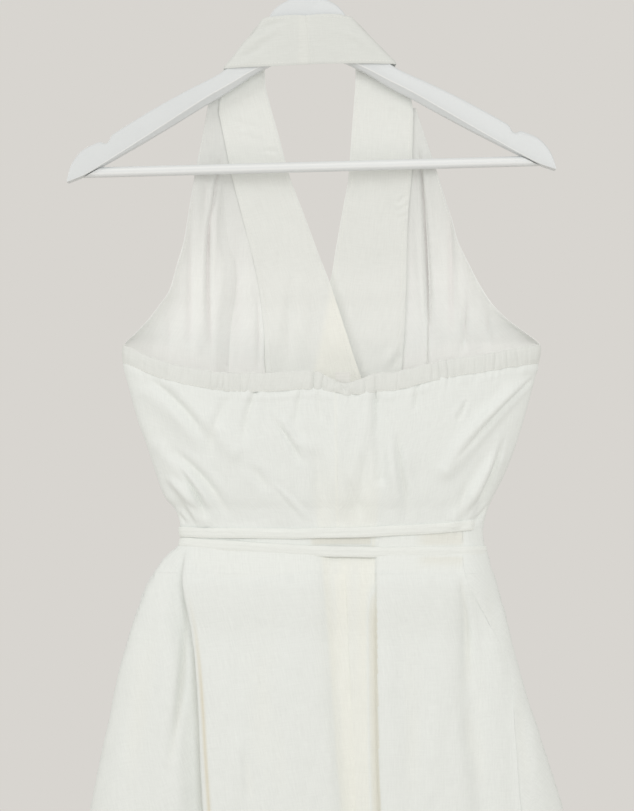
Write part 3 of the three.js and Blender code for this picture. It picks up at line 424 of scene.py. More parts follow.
# The ties are taut: they cross the centre back's recess and don't follow it.
TAUT_FOLDS = {name: f for name, f in BACK_FOLDS.items() if not name.startswith("centre")}
FRONT_SKIRT_FOLDS = {
    "far_left": fold([(-587, -82), (-805, -118), (-1304, -178)], -587, 120, 0, 0, 18, pocket=12),
    "middle": fold([(-587, -4), (-805, -14), (-1304, -26)], -587, 120, 0, 0, 17, pocket=11),
    "right": fold([(-587, 62), (-805, 84), (-1304, 112)], -587, 120, 0, 0, 17, pocket=12),
    "far_right": fold([(-587, 124), (-805, 168), (-1304, 250)], -587, 120, 0, 0, 17, pocket=11),
}
FRONT_BODICE_FOLDS = {
    "left_edge": fold([(-200, -86), (-237, -81.6), (-278, -79.4), (-313, -72.5), (-369, -78), (-480, -80)],
                      -190, 50, -6, -6, 2.5, lap=3),
    "right_edge": fold([(-200, 108), (-241, 108.7), (-321, 112.7), (-397, 115), (-480, 112)],
                       -190, 50, 6, 6, 2.5, lap=3),
    "right_valley": fold([(-290, 133), (-480, 134)], -270, 60, 0, 0, 7, pocket=3),
}
# Drag lines in the back bodice, from one point to another: x1, z1, x2, z2, height, width.
DRAG_LINES = [
    (190, -420, 128, -494, 4, 7), (178, -486, 136, -538, 3, 6), (-118, -416, -64, -476, 3, 8),
    (-134, -474, -92, -538, 4, 7), (64, -430, 68, -500, -3, 6),
]


def across_of(turn):
    return np.where(np.abs(turn) <= 1, turn, np.sign(turn) * 2 - turn)


def dress_point(turn, z, back_folds=BACK_FOLDS):
    """The middle of the cloth. Turn 0 is the centre back, -1 and 1 the sides, -2 and 2 the centre front."""
    turn, z = np.broadcast_arrays(np.asarray(turn, float), np.asarray(z, float))
    on_back = np.abs(turn) <= 1
    across = across_of(turn)
    bow = np.maximum(0, 1 - np.abs(across) ** FLATNESS) ** 0.5
    plain_x = mix(read(SECTIONS, "left", z), read(SECTIONS, "right", z), (across + 1) / 2)
    deep = np.where(on_back, -read(SECTIONS, "back", z), read(SECTIONS, "front", z))
    y = read(SECTIONS, "rim", z) + deep * bow
    x = plain_x.copy()
    calm = 1 - np.abs(across) ** 10
    down = np.clip((z - SKIRT_TOP) / (HEM - SKIRT_TOP), 0, 1)
    upper_front = ~on_back & (z > SKIRT_TOP)
    groups = [
        (back_folds, on_back.astype(float)),
        (FRONT_BODICE_FOLDS, upper_front * smooth((z + 530) / 60)),
        (FRONT_SKIRT_FOLDS, (~on_back & ~upper_front).astype(float)),
    ]
    for folds, share in groups:
        share = share * calm
        for f in folds.values():
            grown = smooth((f["start"] - z) / f["length"])
            rise = mix(*f["rise"], down) * grown
            run = f["run"] * mix(1, 1.7, down)
            q = (plain_x - read(f["places"], "x", z)) / run
            y -= rise * 0.5 * (1 + np.tanh(q)) * share
            y += np.where(on_back, 1, -1) * f["pocket"] * mix(0.8, 1.6, down) * grown * np.exp(-q * q) * share
            lap = f["lap"] * mix(1, 1.5, down) * grown
            x -= np.sign(rise) * lap * np.tanh(1.4 * q) * np.exp(-q * q / 5) * share
    for x1, z1, x2, z2, height, width in DRAG_LINES:
        length = math.hypot(x2 - x1, z2 - z1)
        along = np.clip(((plain_x - x1) * (x2 - x1) + (z - z1) * (z2 - z1)) / length**2, 0, 1)
        far = np.hypot(plain_x - mix(x1, x2, along), z - mix(z1, z2, along)) / width
        y -= height * np.exp(-far * far) * calm * (on_back & (z > WAIST_TOP))
    return np.stack([x, y, z], -1)


def outward(turn, z, back_folds=BACK_FOLDS):
    """The way out of the dress at a point of it."""
    side = dress_point(turn + 1e-3, z, back_folds) - dress_point(turn - 1e-3, z, back_folds)
    up = dress_point(turn, z + 0.4, back_folds) - dress_point(turn, z - 0.4, back_folds)
    return unit(np.cross(side, up))


def turn_of_back(x, z):
    left, right = read(SECTIONS, "left", z), read(SECTIONS, "right", z)
    return 2 * (x - left) / (right - left) - 1


def turn_of_front(x, z, side):
    return side * 2 - turn_of_back(x, z)


def wrap_out(turn, z):
    """How far inside the outer front the inner one lies."""
    return -WRAP_DEPTH * smooth((np.abs(turn) - 1.04) / 0.34) * smooth((WRAP_TOP - z) / 120)


def unevenness(across, down, size_across, size_down, seed):
    """Smooth uneven heights from -1 to 1, with lumps of a given size in millimetres."""
    heights = np.random.default_rng(seed).uniform(-1, 1, (61, 67))
    a, d = across / size_across + 900, down / size_down + 900
    i, j = np.floor(a).astype(int), np.floor(d).astype(int)
    s, t = smooth(a - i), smooth(d - j)
    at = lambda m, n: heights[(i + m) % 61, (j + n) % 67]
    return mix(mix(at(0, 0), at(1, 0), s), mix(at(0, 1), at(1, 1), s), t)


def seen(points):
    """Where the camera sees points against the hanger's plane, as x and z in millimetres."""
    x, y, z = np.moveaxis(points, -1, 0)
    eye_x, eye_y, eye_z = EYE / MM
    grow = -eye_y / (y - eye_y)
    return eye_x + (x - eye_x) * grow, eye_z + (z - eye_z) * grow


def creased(points, creases):
    """The height of the creases at points, each a soft trough or ridge from x1, z1 to x2, z2 as seen, with a
    bow to one side, a half width, a height and how full it starts (0 fades in, 1 starts at a seam)."""
    x, z = seen(points)
    total = np.zeros(x.shape)
    for x1, z1, x2, z2, bow, width, height, start in creases:
        length = math.hypot(x2 - x1, z2 - z1)
        t = ((x - x1) * (x2 - x1) + (z - z1) * (z2 - z1)) / length**2
        aside = ((x - x1) * (z2 - z1) - (z - z1) * (x2 - x1)) / length + 4 * bow * t * (1 - t)
        q = aside / (width * mix(0.75, 1.35, np.clip(t, 0, 1)))
        head = mix(start, 1, smooth(t / 0.4)) * smooth((t + 0.12) / 0.12)
        profile = np.exp(-q * q) - 0.3 * np.exp(-((np.abs(q) - 2.2) ** 2) / 1.4)
        total += height * profile * head * smooth((1 - t) / 0.45)
    return total


# Washed white linen in plain weave: matt, a little hairy, its threads uneven, so that fine darker and lighter
# slubs run both ways. Two layers look lighter than one. Real threads lie 0.6 mm apart; they are drawn at
# 1.2 mm, because the finest that shows at this size is about that.
THREAD = 0.0012
SLUB_LONG = 14
# The painted light that hollows take from the cloth beside them, and the painted tan shade of deep folds.
LINEN_PAINTED_LIGHT = 0xF6F7EF
LINEN_PAINTED_SHADE = 0xE3DFCF


def washed_linen(name, single, doubled, slub, shaded=LINEN_PAINTED_LIGHT, folded=LINEN_PAINTED_SHADE):
    """Linen in its single and doubled tones; slub is how much darker its dark threads are. On the bands and the
    front bodice the two tones are painted shade and painted light rather than one and two layers. In hollows,
    up to 1, it takes a painted light, as from the cloth beside it, and below 0 it turns to a painted tan shade
    of deep folds."""
    cloth, tree = new_material(name)
    weave, layers_and_painted_shading, hollow = (
        node(tree, "ShaderNodeAttribute", attribute_name=kept).outputs
        for kept in ("weave", "layers_and_painted_shading", "hollow"))
    slubs = []
    for long_way, short_way, shift in ((1, 0, 3.0), (0, 1, 11.0)):
        stretch = [1.0, 1.0, 1.0]
        stretch[long_way], stretch[short_way] = 1 / (THREAD * SLUB_LONG), 1 / THREAD
        threads = node(tree, "ShaderNodeVectorMath", [
            (0, weave["Vector"]), (1, stretch), (2, (shift, shift * 1.7, shift))], operation="MULTIPLY_ADD")
        slubs.append(noise(tree, 1.0, 2.0, threads.outputs[0], roughness=0.6))
    woven = node(tree, "ShaderNodeMix", [(0, 0.4), (2, slubs[0]), (3, slubs[1])]).outputs[0]
    even = spread(tree, woven, 0.0, 1.0, 0.36, 0.64)
    washed = spread(tree, noise(tree, 26.0, 4.0, weave["Vector"]), 0.0, 1.0, 0.3, 0.7)
    tone = blended(tree, layers_and_painted_shading["Fac"], single, doubled)
    tone = blended(tree, hollow["Fac"], tone, shaded)
    tone = blended(tree, spread(tree, hollow["Fac"], 1.0, 0.0, -1.0, 0.0), tone, folded)
    for pattern, darkest in ((even, slub), (washed, 0.012)):
        shade = spread(tree, pattern, 1 - darkest, 1.0)
        tone = node(tree, "ShaderNodeVectorMath", [(0, tone), ("Scale", shade)], operation="SCALE").outputs[0]
    surfaced(tree, [
        ("Base Color", tone), ("Roughness", 0.92), ("Normal", bumped(tree, even, 0.3, 0.0002)),
        ("Sheen Weight", 0.08), ("Sheen Roughness", 0.5), ("Specular IOR Level", 0.25)])
    return cloth


# The first is the dress's outside. The second, for the casing, is a little darker and greyer. The third is
# # for the bands: painted shade makes them darker at the nape and at their tops, and painted light lighter
# lower
# # down, where light comes through them. The fourth is for the front bodice: painted light makes it lighter
# lower
# # down and along the casing, and its deep folds take a pinkish painted shade.
linen = washed_linen("washed_plain_weave_linen", 0xEEF2F0, 0xF2F5F1, 0.05)
lined_linen = washed_linen("washed_linen_over_elastic", 0xE6E9E6, 0xE9ECE8, 0.045)
band_linen_painted = washed_linen("washed_linen_painted_light_and_shade", 0xF9FBF8, 0xE2E5E2, 0.045, 0xFFFFF7)
front_linen_painted = washed_linen("washed_linen_painted_light_through", 0xE4E6E4, 0xF9FBF9, 0.04, 0xFFFFFD, 0xE8E0E1)


def deepened(hollow, deep):
    """Hollows, and below 0 how deep in a fold each point lies, for a painted tan shade that takes the place of
    its hollow's painted light.
    """
    return hollow * (1 - smooth(4 * deep)) - deep


CLEAR_TOP = -215
NAPE_BOTTOM = -150


def lit_through(grid):
    """How much light comes through the front from behind it, more where it hangs clear, from its top down."""
    return smooth((CLEAR_TOP - grid[..., 2]) / 150)


def at_nape(grid):
    """1 over the hanger, where the neck is pressed flat and turned up from the light."""
    return smooth((8 - grid[..., 1]) / 6) * smooth((grid[..., 2] - NAPE_BOTTOM) / 20)


def grid_normals(grid):
    """The ways out of a grid of points, whose rows lie below each other."""
    return unit(np.cross(np.gradient(grid, axis=1), np.gradient(grid, axis=0)))


def sew(name, grid, thickness, replaced, grain=0.0, layers_and_painted_shading=0.0, folded_edge=0.0, hollow=0.0, cloth=linen,
        outside=None, outer_face=0):
    """A closed wall of cloth through a grid of points. Grain turns the weave, in degrees from straight down,
    layers is 1 where the cloth is doubled, and on the bands and the front bodice it sets their painted light
    and shade; hollow gives painted light in hollows, and below 0 a painted tan shade in deep folds. folded_edge
    is how far in from its long edges it is rounded. outside gives the layers of its outer face, 0 or 1, where
    that is not lit and shaded like its inner one."""
    rows, cols = grid.shape[:2]
    down_run, across_run = run_along(grid), run_along(grid, 1)
    across_run -= across_run[:, -1:] / 2
    half = np.full((rows, cols), thickness / 2)
    if folded_edge:
        edge = np.minimum(across_run - across_run[:, :1], across_run[:, -1:] - across_run)
        half *= 0.25 + 0.75 * np.sqrt(1 - (1 - np.clip(edge / folded_edge, 0, 1)) ** 2)
    aside = grid_normals(grid) * half[..., None]
    points = np.concatenate([grid + aside, grid - aside]).reshape(-1, 3)
    n = np.arange(rows * cols).reshape(rows, cols)
    far = n + rows * cols
    corners = (
        (n[:-1, :-1], n[1:, :-1], n[1:, 1:], n[:-1, 1:]),
        (far[:-1, :-1], far[:-1, 1:], far[1:, 1:], far[1:, :-1]),
        (n[:-1, 0], far[:-1, 0], far[1:, 0], n[1:, 0]), (n[:-1, -1], n[1:, -1], far[1:, -1], far[:-1, -1]),
        (n[0, :-1], n[0, 1:], far[0, 1:], far[0, :-1]), (n[-1, :-1], far[-1, :-1], far[-1, 1:], n[-1, 1:]),
    )
    faces = np.concatenate([np.stack(four, -1).reshape(-1, 4) for four in corners])
    piece = make_piece(name, points, faces, cloth, sharp=60)
    turn = math.radians(grain)
    weave = np.stack([
        across_run * math.cos(turn) + down_run * math.sin(turn),
        down_run * math.cos(turn) - across_run * math.sin(turn), np.zeros((rows, cols))], -1) * MM
    layers_and_painted_shading, hollow = (kept + np.zeros((2, rows, cols)) for kept in (layers_and_painted_shading, hollow))
    if outside is not None:
        layers_and_painted_shading[outer_face], hollow[outer_face] = outside, hollow[outer_face] * at_nape(grid)
    keep(piece, "weave", np.stack([weave, weave]), "FLOAT_VECTOR", "vector")
    keep(piece, "layers_and_painted_shading", layers_and_painted_shading)
    keep(piece, "hollow", hollow)
    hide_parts(*replaced)
    return piece


# Sewing thread: white twisted cotton, one shade brighter than the linen and a little glossier, laid in short
# stitches of about 3 mm that dip into the cloth at both ends.
STITCH, STITCH_LONG, THREAD_THICK = 3.0, 2.3, 0.42
STITCH_HEIGHTS, STITCH_SHAPE = np.array([-0.15, 0.14, -0.15]), np.array([0.6, 1, 0.6])
sewing_thread, tree = new_material("twisted_cotton_thread")
twist = noise(tree, 2400.0, 1.0, node(tree, "ShaderNodeTexCoord").outputs["Object"])
surfaced(tree, [
    ("Base Color", blended(tree, twist, 0xEEEFEA, 0xF9FAF6)), ("Roughness", 0.7),
    ("Normal", bumped(tree, twist, 0.3, 0.0001))])


def stitch_rows(name, rows):
    """Stitches along rows, each a line of points, the ways out of the cloth there and how far out they lie."""
    points, faces = [], []
    turns = np.linspace(0, 2 * math.pi, 4, endpoint=False)
    radius = THREAD_THICK / 2 * STITCH_SHAPE[:, None, None]
    for line, out, far in rows:
        run = run_along(line)
        for start in np.arange(1.0, run[-1] - STITCH, STITCH):
            at = start + np.linspace(0, STITCH_LONG, 3)
            middle, up = (
                np.stack([np.interp(at, run, way[:, k]) for k in range(3)], -1) for way in (line, out))
            middle = middle + up * (far + STITCH_HEIGHTS)[:, None]
            aside = unit(np.cross(np.gradient(middle, axis=0), up))
            ring = aside[:, None] * np.cos(turns)[:, None] + up[:, None] * np.sin(turns)[:, None]
            stitch_points, stitch_faces = lofted(middle[:, None] + radius * ring)
            faces.append(stitch_faces + len(points) * len(stitch_points))
            points.append(stitch_points)
    make_piece(name, np.concatenate(points), np.concatenate(faces), sewing_thread)


def row_on(grid, place, along, face, thickness):
    """A row on a face (1 or -1) of the cloth, at a place across its grid, along its rows or its columns."""
    at = (place, slice(None)) if along == "row" else (slice(None), place)
    return grid[at], grid_normals(grid)[at] * face, thickness / 2


BANDS = columns("z left_in left_out right_in right_out", [
    (-128.5, -39.3, -85, 47, 99.4), (-160.7, -31.6, -80.3, 44.5, 99.4), (-192.6, -22.6, -73.9, 42.1, 98.8),
    (-224.6, -13.7, -67.5, 39.7, 98.1), (-256.5, -1.5, -59.4, 34.1, 95.3), (-288.5, 10.6, -51.2, 28.4, 94.3),
    (-320.4, 22.8, -44.2, 22.8, 93.8), (-362.4, 36.5, -38.7, 8.9, 92.3), (-404.4, 50.2, -36.6, -5, 89.1),
    (-439.1, 62.6, -30.2, -16.4, 81.9), (-484.7, 78.9, -21.8, -31.5, 72.5), (-525.8, 93.6, -14.1, -45.1, 64.1),
    (-546.1, 100.8, -10.4, -51.8, 59.9),
])
# The neck part, from the centre back over the hanger: the neckline edge's x and z, the other edge's, and y.
NECK_LEFT = [
    (0.9, -80.9, 6.2, -124.9, -12.2), (-12, -80.4, -18, -126.4, -12.6), (-26, -81.6, -48, -127.4, -11.8),
    (-34.2, -82.3, -71.6, -128.6, -10.3), (-36, -82.6, -73.4, -128.6, -8.8),
    (-36.7, -82.5, -74.1, -128.1, -4.5), (-36.7, -82.5, -74.1, -128.1, 4.5), (-36, -83.1, -73.4, -128.9, 8.8),
    (-34.2, -86.9, -72.8, -131.6, 10.3), (-37, -112, -77.5, -146, 10.8),
]
NECK_RIGHT = [
    (0.9, -80.9, 6.2, -124.9, -12.2), (14, -79.6, 30, -124.4, -12.6), (30, -79.6, 58, -124.2, -11.8),
    (38.8, -81, 80.4, -124.6, -10.3), (40.7, -81, 82.4, -124.4, -8.8), (41.4, -80.9, 83.1, -123.7, -4.5),
    (41.4, -80.9, 83.1, -123.7, 4.5), (40.7, -81.5, 82.4, -124.5, 8.8), (39.8, -84.8, 83, -127.4, 10.3),
    (45.6, -112, 94, -142, 10.8),
]
# How the rows of a band turn from slanting to level on their way down: a row's height at either edge.
BAND_ROWS = columns("step in_z out_z", [
    (0, -142, -165), (1, -176, -192), (2, -210, -220), (3, -245, -250), (4, -280, -282), (5, -312, -312),
    (6, -345, -345), (11, -545.85, -545.85),
])
# Drag folds across the nape, then creases down the hanging part.
BAND_LEFT_CREASES = [
    (0.9, -80.9, 11.5, -169, 0, 0.9, -0.8, 1),
    (-13.7, -83.1, -59.3, -103.2, -3, 2.6, -1.4, 0), (-34.7, -105.9, -68.5, -119.6, 1.5, 2.6, -1.1, 0),
    (-22, -92, -62, -112, -2, 3.2, 1, 0), (-13.7, -324.1, -13.7, -404.4, 0, 4.5, -1.6, 0.3),
    (-4.6, -324.1, -1.8, -404.4, 0, 5, 1, 0.3), (-30.1, -338.7, -27.4, -404.4, 0, 5, 0.8, 0.3),
    (6.4, -338.7, 19.2, -404.4, 0, 5, -0.8, 0.3), (-63, -183.5, -33.8, -190.8, 1.5, 2.5, 0.7, 0),
    (-70.3, -172.5, -48.4, -181.7, 0, 2.5, -0.8, 0.6), (-39.3, -201.8, -20.1, -203.6, 0, 2, -0.6, 0.3),
]
BAND_RIGHT_CREASES = [
    (0.9, -80.9, 11.5, -169, 0, 0.9, -0.8, 1),
    (41, -82.2, 84, -121.4, 3, 2.8, -1.5, 0), (30, -90, 70, -120, 3, 3.4, 1, 0),
    (91.3, -243.7, 83.1, -252.9, 0, 1.8, -0.9, 1), (92.2, -252, 84, -259.3, 0, 1.8, -0.9, 1),
    (91.3, -260.2, 84.9, -265.6, 0, 1.8, -0.7, 1), (88.5, -380.7, 75.8, -404.4, 2, 3, -1.2, 0.3),
    (83.1, -378.8, 68.5, -404.4, 2, 4, 1, 0.3), (42.9, -338.7, 55.7, -404.4, 0, 5, -0.8, 0.2),
    (61.2, -229.1, 66.6, -338.7, 2, 8, 0.7, 0), (77.6, -165.2, 90.4, -172.5, 0, 2.5, -0.8, 0.6),
]


def hollows(grid, creases, depth=4.5):
    """How far into a trough each point lies, from 0 to 1."""
    return np.clip(-creased(grid, creases) / depth, 0, 1)


BAND_ACROSS, BAND_DOWN = 34, 330
NAPE_EDGE = -122
NAPE_LEAN = 1.3
# The edge of the band that lies over the other, as seen: a point of it and how it slants.
OVER_X, OVER_Z, OVER_SLANT = 25.6, -320.4, 0.21


def hang_band(neck, side, out, creases, seed):
    """A band's grid of points, from the centre back to the waist."""
    name = "left" if side < 0 else "right"
    t = np.linspace(0, 1, BAND_ACROSS)
    in_x, in_z, out_x, out_z, y = (np.array(c)[:, None] for c in zip(*neck))
    leaning = y - NAPE_LEAN * t * (y < -8) * np.sign(y)
    over_neck = np.stack([mix(in_x, out_x, t), leaning, mix(in_z, out_z, t)], -1)
    steps = np.linspace(0, BAND_ROWS["step"][-1], 40)
    in_z, out_z = read(BAND_ROWS, "in_z", steps)[:, None], read(BAND_ROWS, "out_z", steps)[:, None]
    z = mix(in_z, out_z, t)
    turn = turn_of_front(mix(read(BANDS, name + "_in", in_z), read(BANDS, name + "_out", out_z), t), z, side)
    hanging = dress_point(turn, z) + outward(turn, z) * (out(turn, z) - BAND_OUT)[..., None]
    stops = np.concatenate([over_neck, hanging])
    run = run_along(stops[:, BAND_ACROSS // 2])
    down = np.linspace(0, run[-1], BAND_DOWN)
    grid = smooth_through(run, stops, down)
    toward = grid_normals(grid)
    toward *= np.where(toward[..., 1:2] > 0, -1, 1)
    along, over = np.meshgrid(down, t * 60, indexing="ij")
    lumps = 0.45 * unevenness(over, along, 24, 60, seed) + 0.15 * unevenness(over, along, 7, 11, seed + 1)
    height = creased(grid, creases) + lumps * smooth(np.abs(grid[..., 2] - NAPE_EDGE) / 14)
    return grid + toward * height[..., None]


def over_other_band(grid):
    """How much cream the cloth takes where the two bands lie over each other above the casing, and along the
    seam allowance at the nape."""
    x, z = seen(grid)
    edge = OVER_X + (z - OVER_Z) * OVER_SLANT
    nape = smooth((5.5 - np.abs(x + 1)) / 1) * (grid[..., 1] < 0) * (z > -140)
    return np.maximum(0.65 * smooth((x - edge + 4) / 9) * (grid[..., 1] > 0) * (z < -318), 0.1 * nape)


for name, neck, side, out, creases, seed, flat, area in (
        ("left", NECK_LEFT, -1, wrap_out, BAND_LEFT_CREASES, 5, (0.075, 0.60), 0.0352),
        ("right", NECK_RIGHT, 1, lambda turn, z: 0 * z, BAND_RIGHT_CREASES, 8, (0.078, 0.62), 0.0376)):
    grid = hang_band(neck, side, out, creases, seed)
    nape = at_nape(grid)
    # Painted light and shade on the bands: darker at the nape and at their tops, lighter lower down where light
    # comes through them.
    band = sew(
        "linen_band_" + name, grid, DOUBLED, ["band_" + name], folded_edge=1.4, cloth=band_linen_painted,
        layers_and_painted_shading=np.maximum(nape, 0.55 - 0.55 * lit_through(grid + 40)),
        hollow=over_other_band(grid) * (nape if side > 0 else 1),
        outside=np.maximum(0.3, nape), outer_face=0 if side > 0 else 1)
    sewn = grid[12:-4]
    rows = [row_on(sewn, place, "column", face, DOUBLED) for place in (2, -3) for face in (1, -1)]
    stitch_rows("band_stitches_" + name, rows)

# Front bodice: a panel on each side, gathered into its band, its free edge the armhole down to the casing and
# the side seam below that. Through the armholes its inside shows.
BAND_LAP = 5
ARMHOLE_END = -376
CASING_LEFT, CASING_RIGHT = -165.5, 214.3
CASING_TOP = columns("x z", [
    (CASING_LEFT, -379.7), (-127.8, -395.3), (-82.2, -404.4), (-39.3, -406.2), (9.1, -404.4), (27.4, -411.7),
    (36.5, -415.3), (48.4, -412.6), (63.9, -407.1), (86.7, -404.4), (123.2, -395.3), (159.7, -388.9),
    (CASING_RIGHT, -379.7),
])
FRONT_LEFT_CREASES = [
    (-80.3, -227.3, -82.2, -404.4, -8.2, 2.2, -3.2, 0.6), (-90.8, -224.6, -84.9, -404.4, 1, 3.2, -2, 0.3),
    (-84.9, -229.1, -81.2, -398, -5.5, 4, 1.6, 0.3), (-98.6, -233.7, -95.8, -404.4, 0, 4, 1.4, 0.3),
    (-105, -283.9, -105.4, -404.4, 0, 2.6, -1.4, 0.3), (-43.4, -338.7, -42, -406.2, 0, 1.8, -1.8, 0.3),
    (-52, -293, -50.2, -406.2, 0, 5, 0.9, 0.3), (-125.1, -347.8, -123.2, -398.9, 0, 3, -0.8, 0.2),
    (-63, -265.6, -61.2, -404.4, 0, 6, -0.6, 0.2),
]
FRONT_RIGHT_CREASES = [
    (105.9, -220, 114.1, -397.1, 2, 2, -3.4, 0.6), (99.5, -238.3, 108.6, -397.1, 1, 3.4, 1.8, 0.3),
    (117.8, -229.1, 123.2, -397.1, 1, 4.5, 1.8, 0.3), (132.4, -245.6, 134.2, -395.3, 0, 3, -2, 0.3),
    (140.6, -283.9, 140.6, -393.4, 0, 4, 1.2, 0.3), (147, -335, 145.1, -393.4, 0, 2, -2.4, 0.3),
    (154.3, -338.7, 154.3, -391.6, 0, 4, 1, 0.3), (166.1, -349.6, 168, -386.1, 0, 2.4, -1.2, 0.3),
]
FINE_STEPS = 3000


def even_shares(start, end, z, count):
    """Shares of the way round from one turn to another that are even along the cloth at a height."""
    shares = np.linspace(0, 1, FINE_STEPS)
    run = run_along(dress_point(mix(start, end, shares), z))
    return np.interp(np.linspace(0, run[-1], count), run, shares)


def cut_panel(left, right, top, bottom, cols, rows, relief, out=None, level=None):
    """A panel's grid between two edges round the dress, each a turn by height, and between its top and bottom.
    relief gives heights out of the dress from the points, the turns, and the shares across and down, out moves
    the whole panel, and level is the height where its columns are evenly spaced."""
    middle = mix(top(0.0), bottom(0.0), 0.5) if level is None else level
    shares = even_shares(float(left(middle)), float(right(middle)), middle, cols)
    down = rows if np.ndim(rows) else np.linspace(0, 1, rows)
    heights = mix(top(0.0), bottom(0.0), down)
    turn = mix(left(heights)[:, None], right(heights)[:, None], shares)
    z = mix(top(turn), bottom(turn), down[:, None])
    grid = dress_point(turn, z)
    lift = relief(grid, turn, shares[None, :], down[:, None])
    if out is not None:
        lift = out(turn, z) + lift
    return grid + outward(turn, z) * lift[..., None]


def constant(value):
    return lambda at: value + 0 * np.asarray(at, float)


def front_edge(side):
    return lambda z: (1 + 0.02 * smooth((z - ARMHOLE_END) / 40)) * side


def front_relief(creases, seed):
    def relief(grid, turn, across, down):
        x, z = seen(grid)
        lumps = 0.6 * unevenness(x, z, 16, 70, seed) + 0.22 * unevenness(x, z, 6, 22, seed + 1)
        lumps = lumps * smooth((2.0 - np.abs(turn)) / 0.2) * smooth((np.abs(turn) - 1) / 0.05)
        return -(creased(grid, creases) + lumps)
    return relief


def front_light(grid, creases):
    """Painted light on the inside along the casing, which shines on it, and a painted tan shade in its deep
    folds.
    """
    x, z = seen(grid)
    beside = 0.8 * smooth(1 - (z - read(CASING_TOP, "z", x)) / 26)
    return deepened(beside, 0.4 * hollows(grid, creases, 4.0))


def band_line(name, side, lap):
    return lambda z: turn_of_front(read(BANDS, name + "_out", z) + lap, z, side)


for name, left, right, top, out, creases, seed, place, flat, area in (
        ("left", front_edge(-1), band_line("left", -1, BAND_LAP), -152, wrap_out, FRONT_LEFT_CREASES, 21, 5,
         (0.16, 0.396), 0.0361),
        ("right", band_line("right", 1, -BAND_LAP), front_edge(1), -162, None, FRONT_RIGHT_CREASES, 31, -6,
         (0.15, 0.386), 0.0323)):
    relief = front_relief(creases, seed)
    grid = cut_panel(left, right, constant(top), constant(WAIST_TOP), 96, 200, relief, out=out)
    # The front bodice is painted lighter from its top down, as light coming through it, and lighter along the
    # casing.
    front = sew(
        "linen_front_bodice_" + name, grid, SINGLE, ["front_bodice_" + name], layers_and_painted_shading=lit_through(grid),
        hollow=front_light(grid, creases), folded_edge=1.2, cloth=front_linen_painted, outside=0.5)
    armhole = grid[grid[:, 0, 2] > ARMHOLE_END]
    rows = [row_on(armhole, place, "column", face, SINGLE) for face in (1, -1)]
    stitch_rows("armhole_stitches_" + name, rows)

# Back casing: a doubled strip along the back's top edge with elastic in it, so that it is gathered into uneven
# puffs. Halfway across it sags between the shoulders' pull.
CASING_THICK = 2.0
CASING_DEPTH = 16.5
# The gathers as seen, from left to right, how slack the cloth is along them, and how much deeper some are.
GATHERS = [
    -147.2, -139.2, -133.5, -126.9, -119.6, -111.8, -105, -94.9, -85.8, -78.8, -74.2, -69.6, -63.9, -58.4,
    -51.1, -43.4, -36.5, -27.4, -16, -4.6, 7.9, 16, 27.4, 41.1, 54.8, 64.5, 75.3, 84.4, 92.2, 99.2, 109.5,
    116.4, 123.2, 130.1, 137.8, 146, 155.2, 165.2, 173.4, 178.9, 184.4, 194, 203.1,
]
SLACK = columns("x depth", [
    (-150, 0.5), (-128, 0.35), (-95, 0.3), (-84, 0.8), (-60, 0.9), (-45, 0.4), (-10, 0.3), (6, 0.8), (30, 1),
    (64, 0.9), (75, 0.5), (110, 0.5), (125, 0.9), (150, 0.5), (175, 0.7), (205, 0.3),
])
DEEP_GATHERS = {-126.9: 1.5, -43.4: 1.2, 7.9: 1.8, 64.5: 1.7, 99.2: 1.4, 130.1: 1.1}


def slack(x):
    """How deep the gathers are: the elastic lies nearly flat for some way and then bunches the cloth."""
    return read(SLACK, "depth", x)


def bunched(x):
    """1 in the sagging middle, where the casing is rolled in on itself and looks narrower."""
    return np.exp(-(((x - 36) / 17) ** 2))


def trough(q, lip, aside):
    """A soft trough at 0 with a lip on either side of it."""
    return np.exp(-q * q) - lip * np.exp(-((np.abs(q) - aside) ** 2))


def rolled_in(depth, x):
    """A depth below the casing's top edge, less where it is rolled in."""
    return depth * (1 - 0.42 * bunched(x))


def casing_x(turn):
    return mix(CASING_LEFT, CASING_RIGHT, (across_of(turn) + 1) / 2)


def casing_relief(grid, turn, across, down):
    x, z = seen(grid)
    rng = np.random.default_rng(43)
    height = 0.9 * np.sin(math.pi * np.clip(down, 0, 1)) ** 0.5 - 0.3 + 0 * x
    for gather in GATHERS:
        lean, width = rng.uniform(-0.22, 0.22), rng.uniform(0.9, 1.7)
        depth = rng.uniform(0.45, 1.3) * slack(gather)
        start, end = rng.uniform(-0.4, 0.15), rng.uniform(0.85, 1.4)
        q = (x - gather - lean * (down - 0.5) * CASING_DEPTH) / width
        share = smooth((down - start + 0.25) / 0.25) * smooth((end + 0.2 - down) / 0.3)
        height -= depth * DEEP_GATHERS.get(gather, 1) * share * trough(q, 0.25, 2.4)
    height += (0.45 + 1.3 * bunched(x)) * unevenness(x + 0.5 * z, z, 5, 7, 44) + 0.8 * bunched(x)
    return height * smooth((1 - np.abs(turn)) / 0.02) - 0.2


def casing_edge(depth):
    """Either long edge of the casing, wavy with its gathers."""
    def level(turn):
        turn = np.asarray(turn, float)
        x = casing_x(turn)
        wave = (0.55 + 0.5 * bunched(x)) * unevenness(x, 0 * turn, 6.5, 9, 45 + int(depth))
        return read(CASING_TOP, "z", x) - rolled_in(depth, x) + wave
    return level


casing_grid = cut_panel(
    constant(-1), constant(1), casing_edge(0), casing_edge(CASING_DEPTH), 620, 15, casing_relief, level=-400)
casing = sew("linen_back_casing", casing_grid, CASING_THICK, ["back_casing"], cloth=lined_linen)
stitch_rows("casing_stitches", [row_on(casing_grid, -2, "row", -1, CASING_THICK)])

# Back bodice: two panels joined at the centre back, gathered into the casing above and the waistband below.
# Creases run in from the side seams, and short ones hang down from the gathers.
SEAM_ALLOWANCE = 10.5
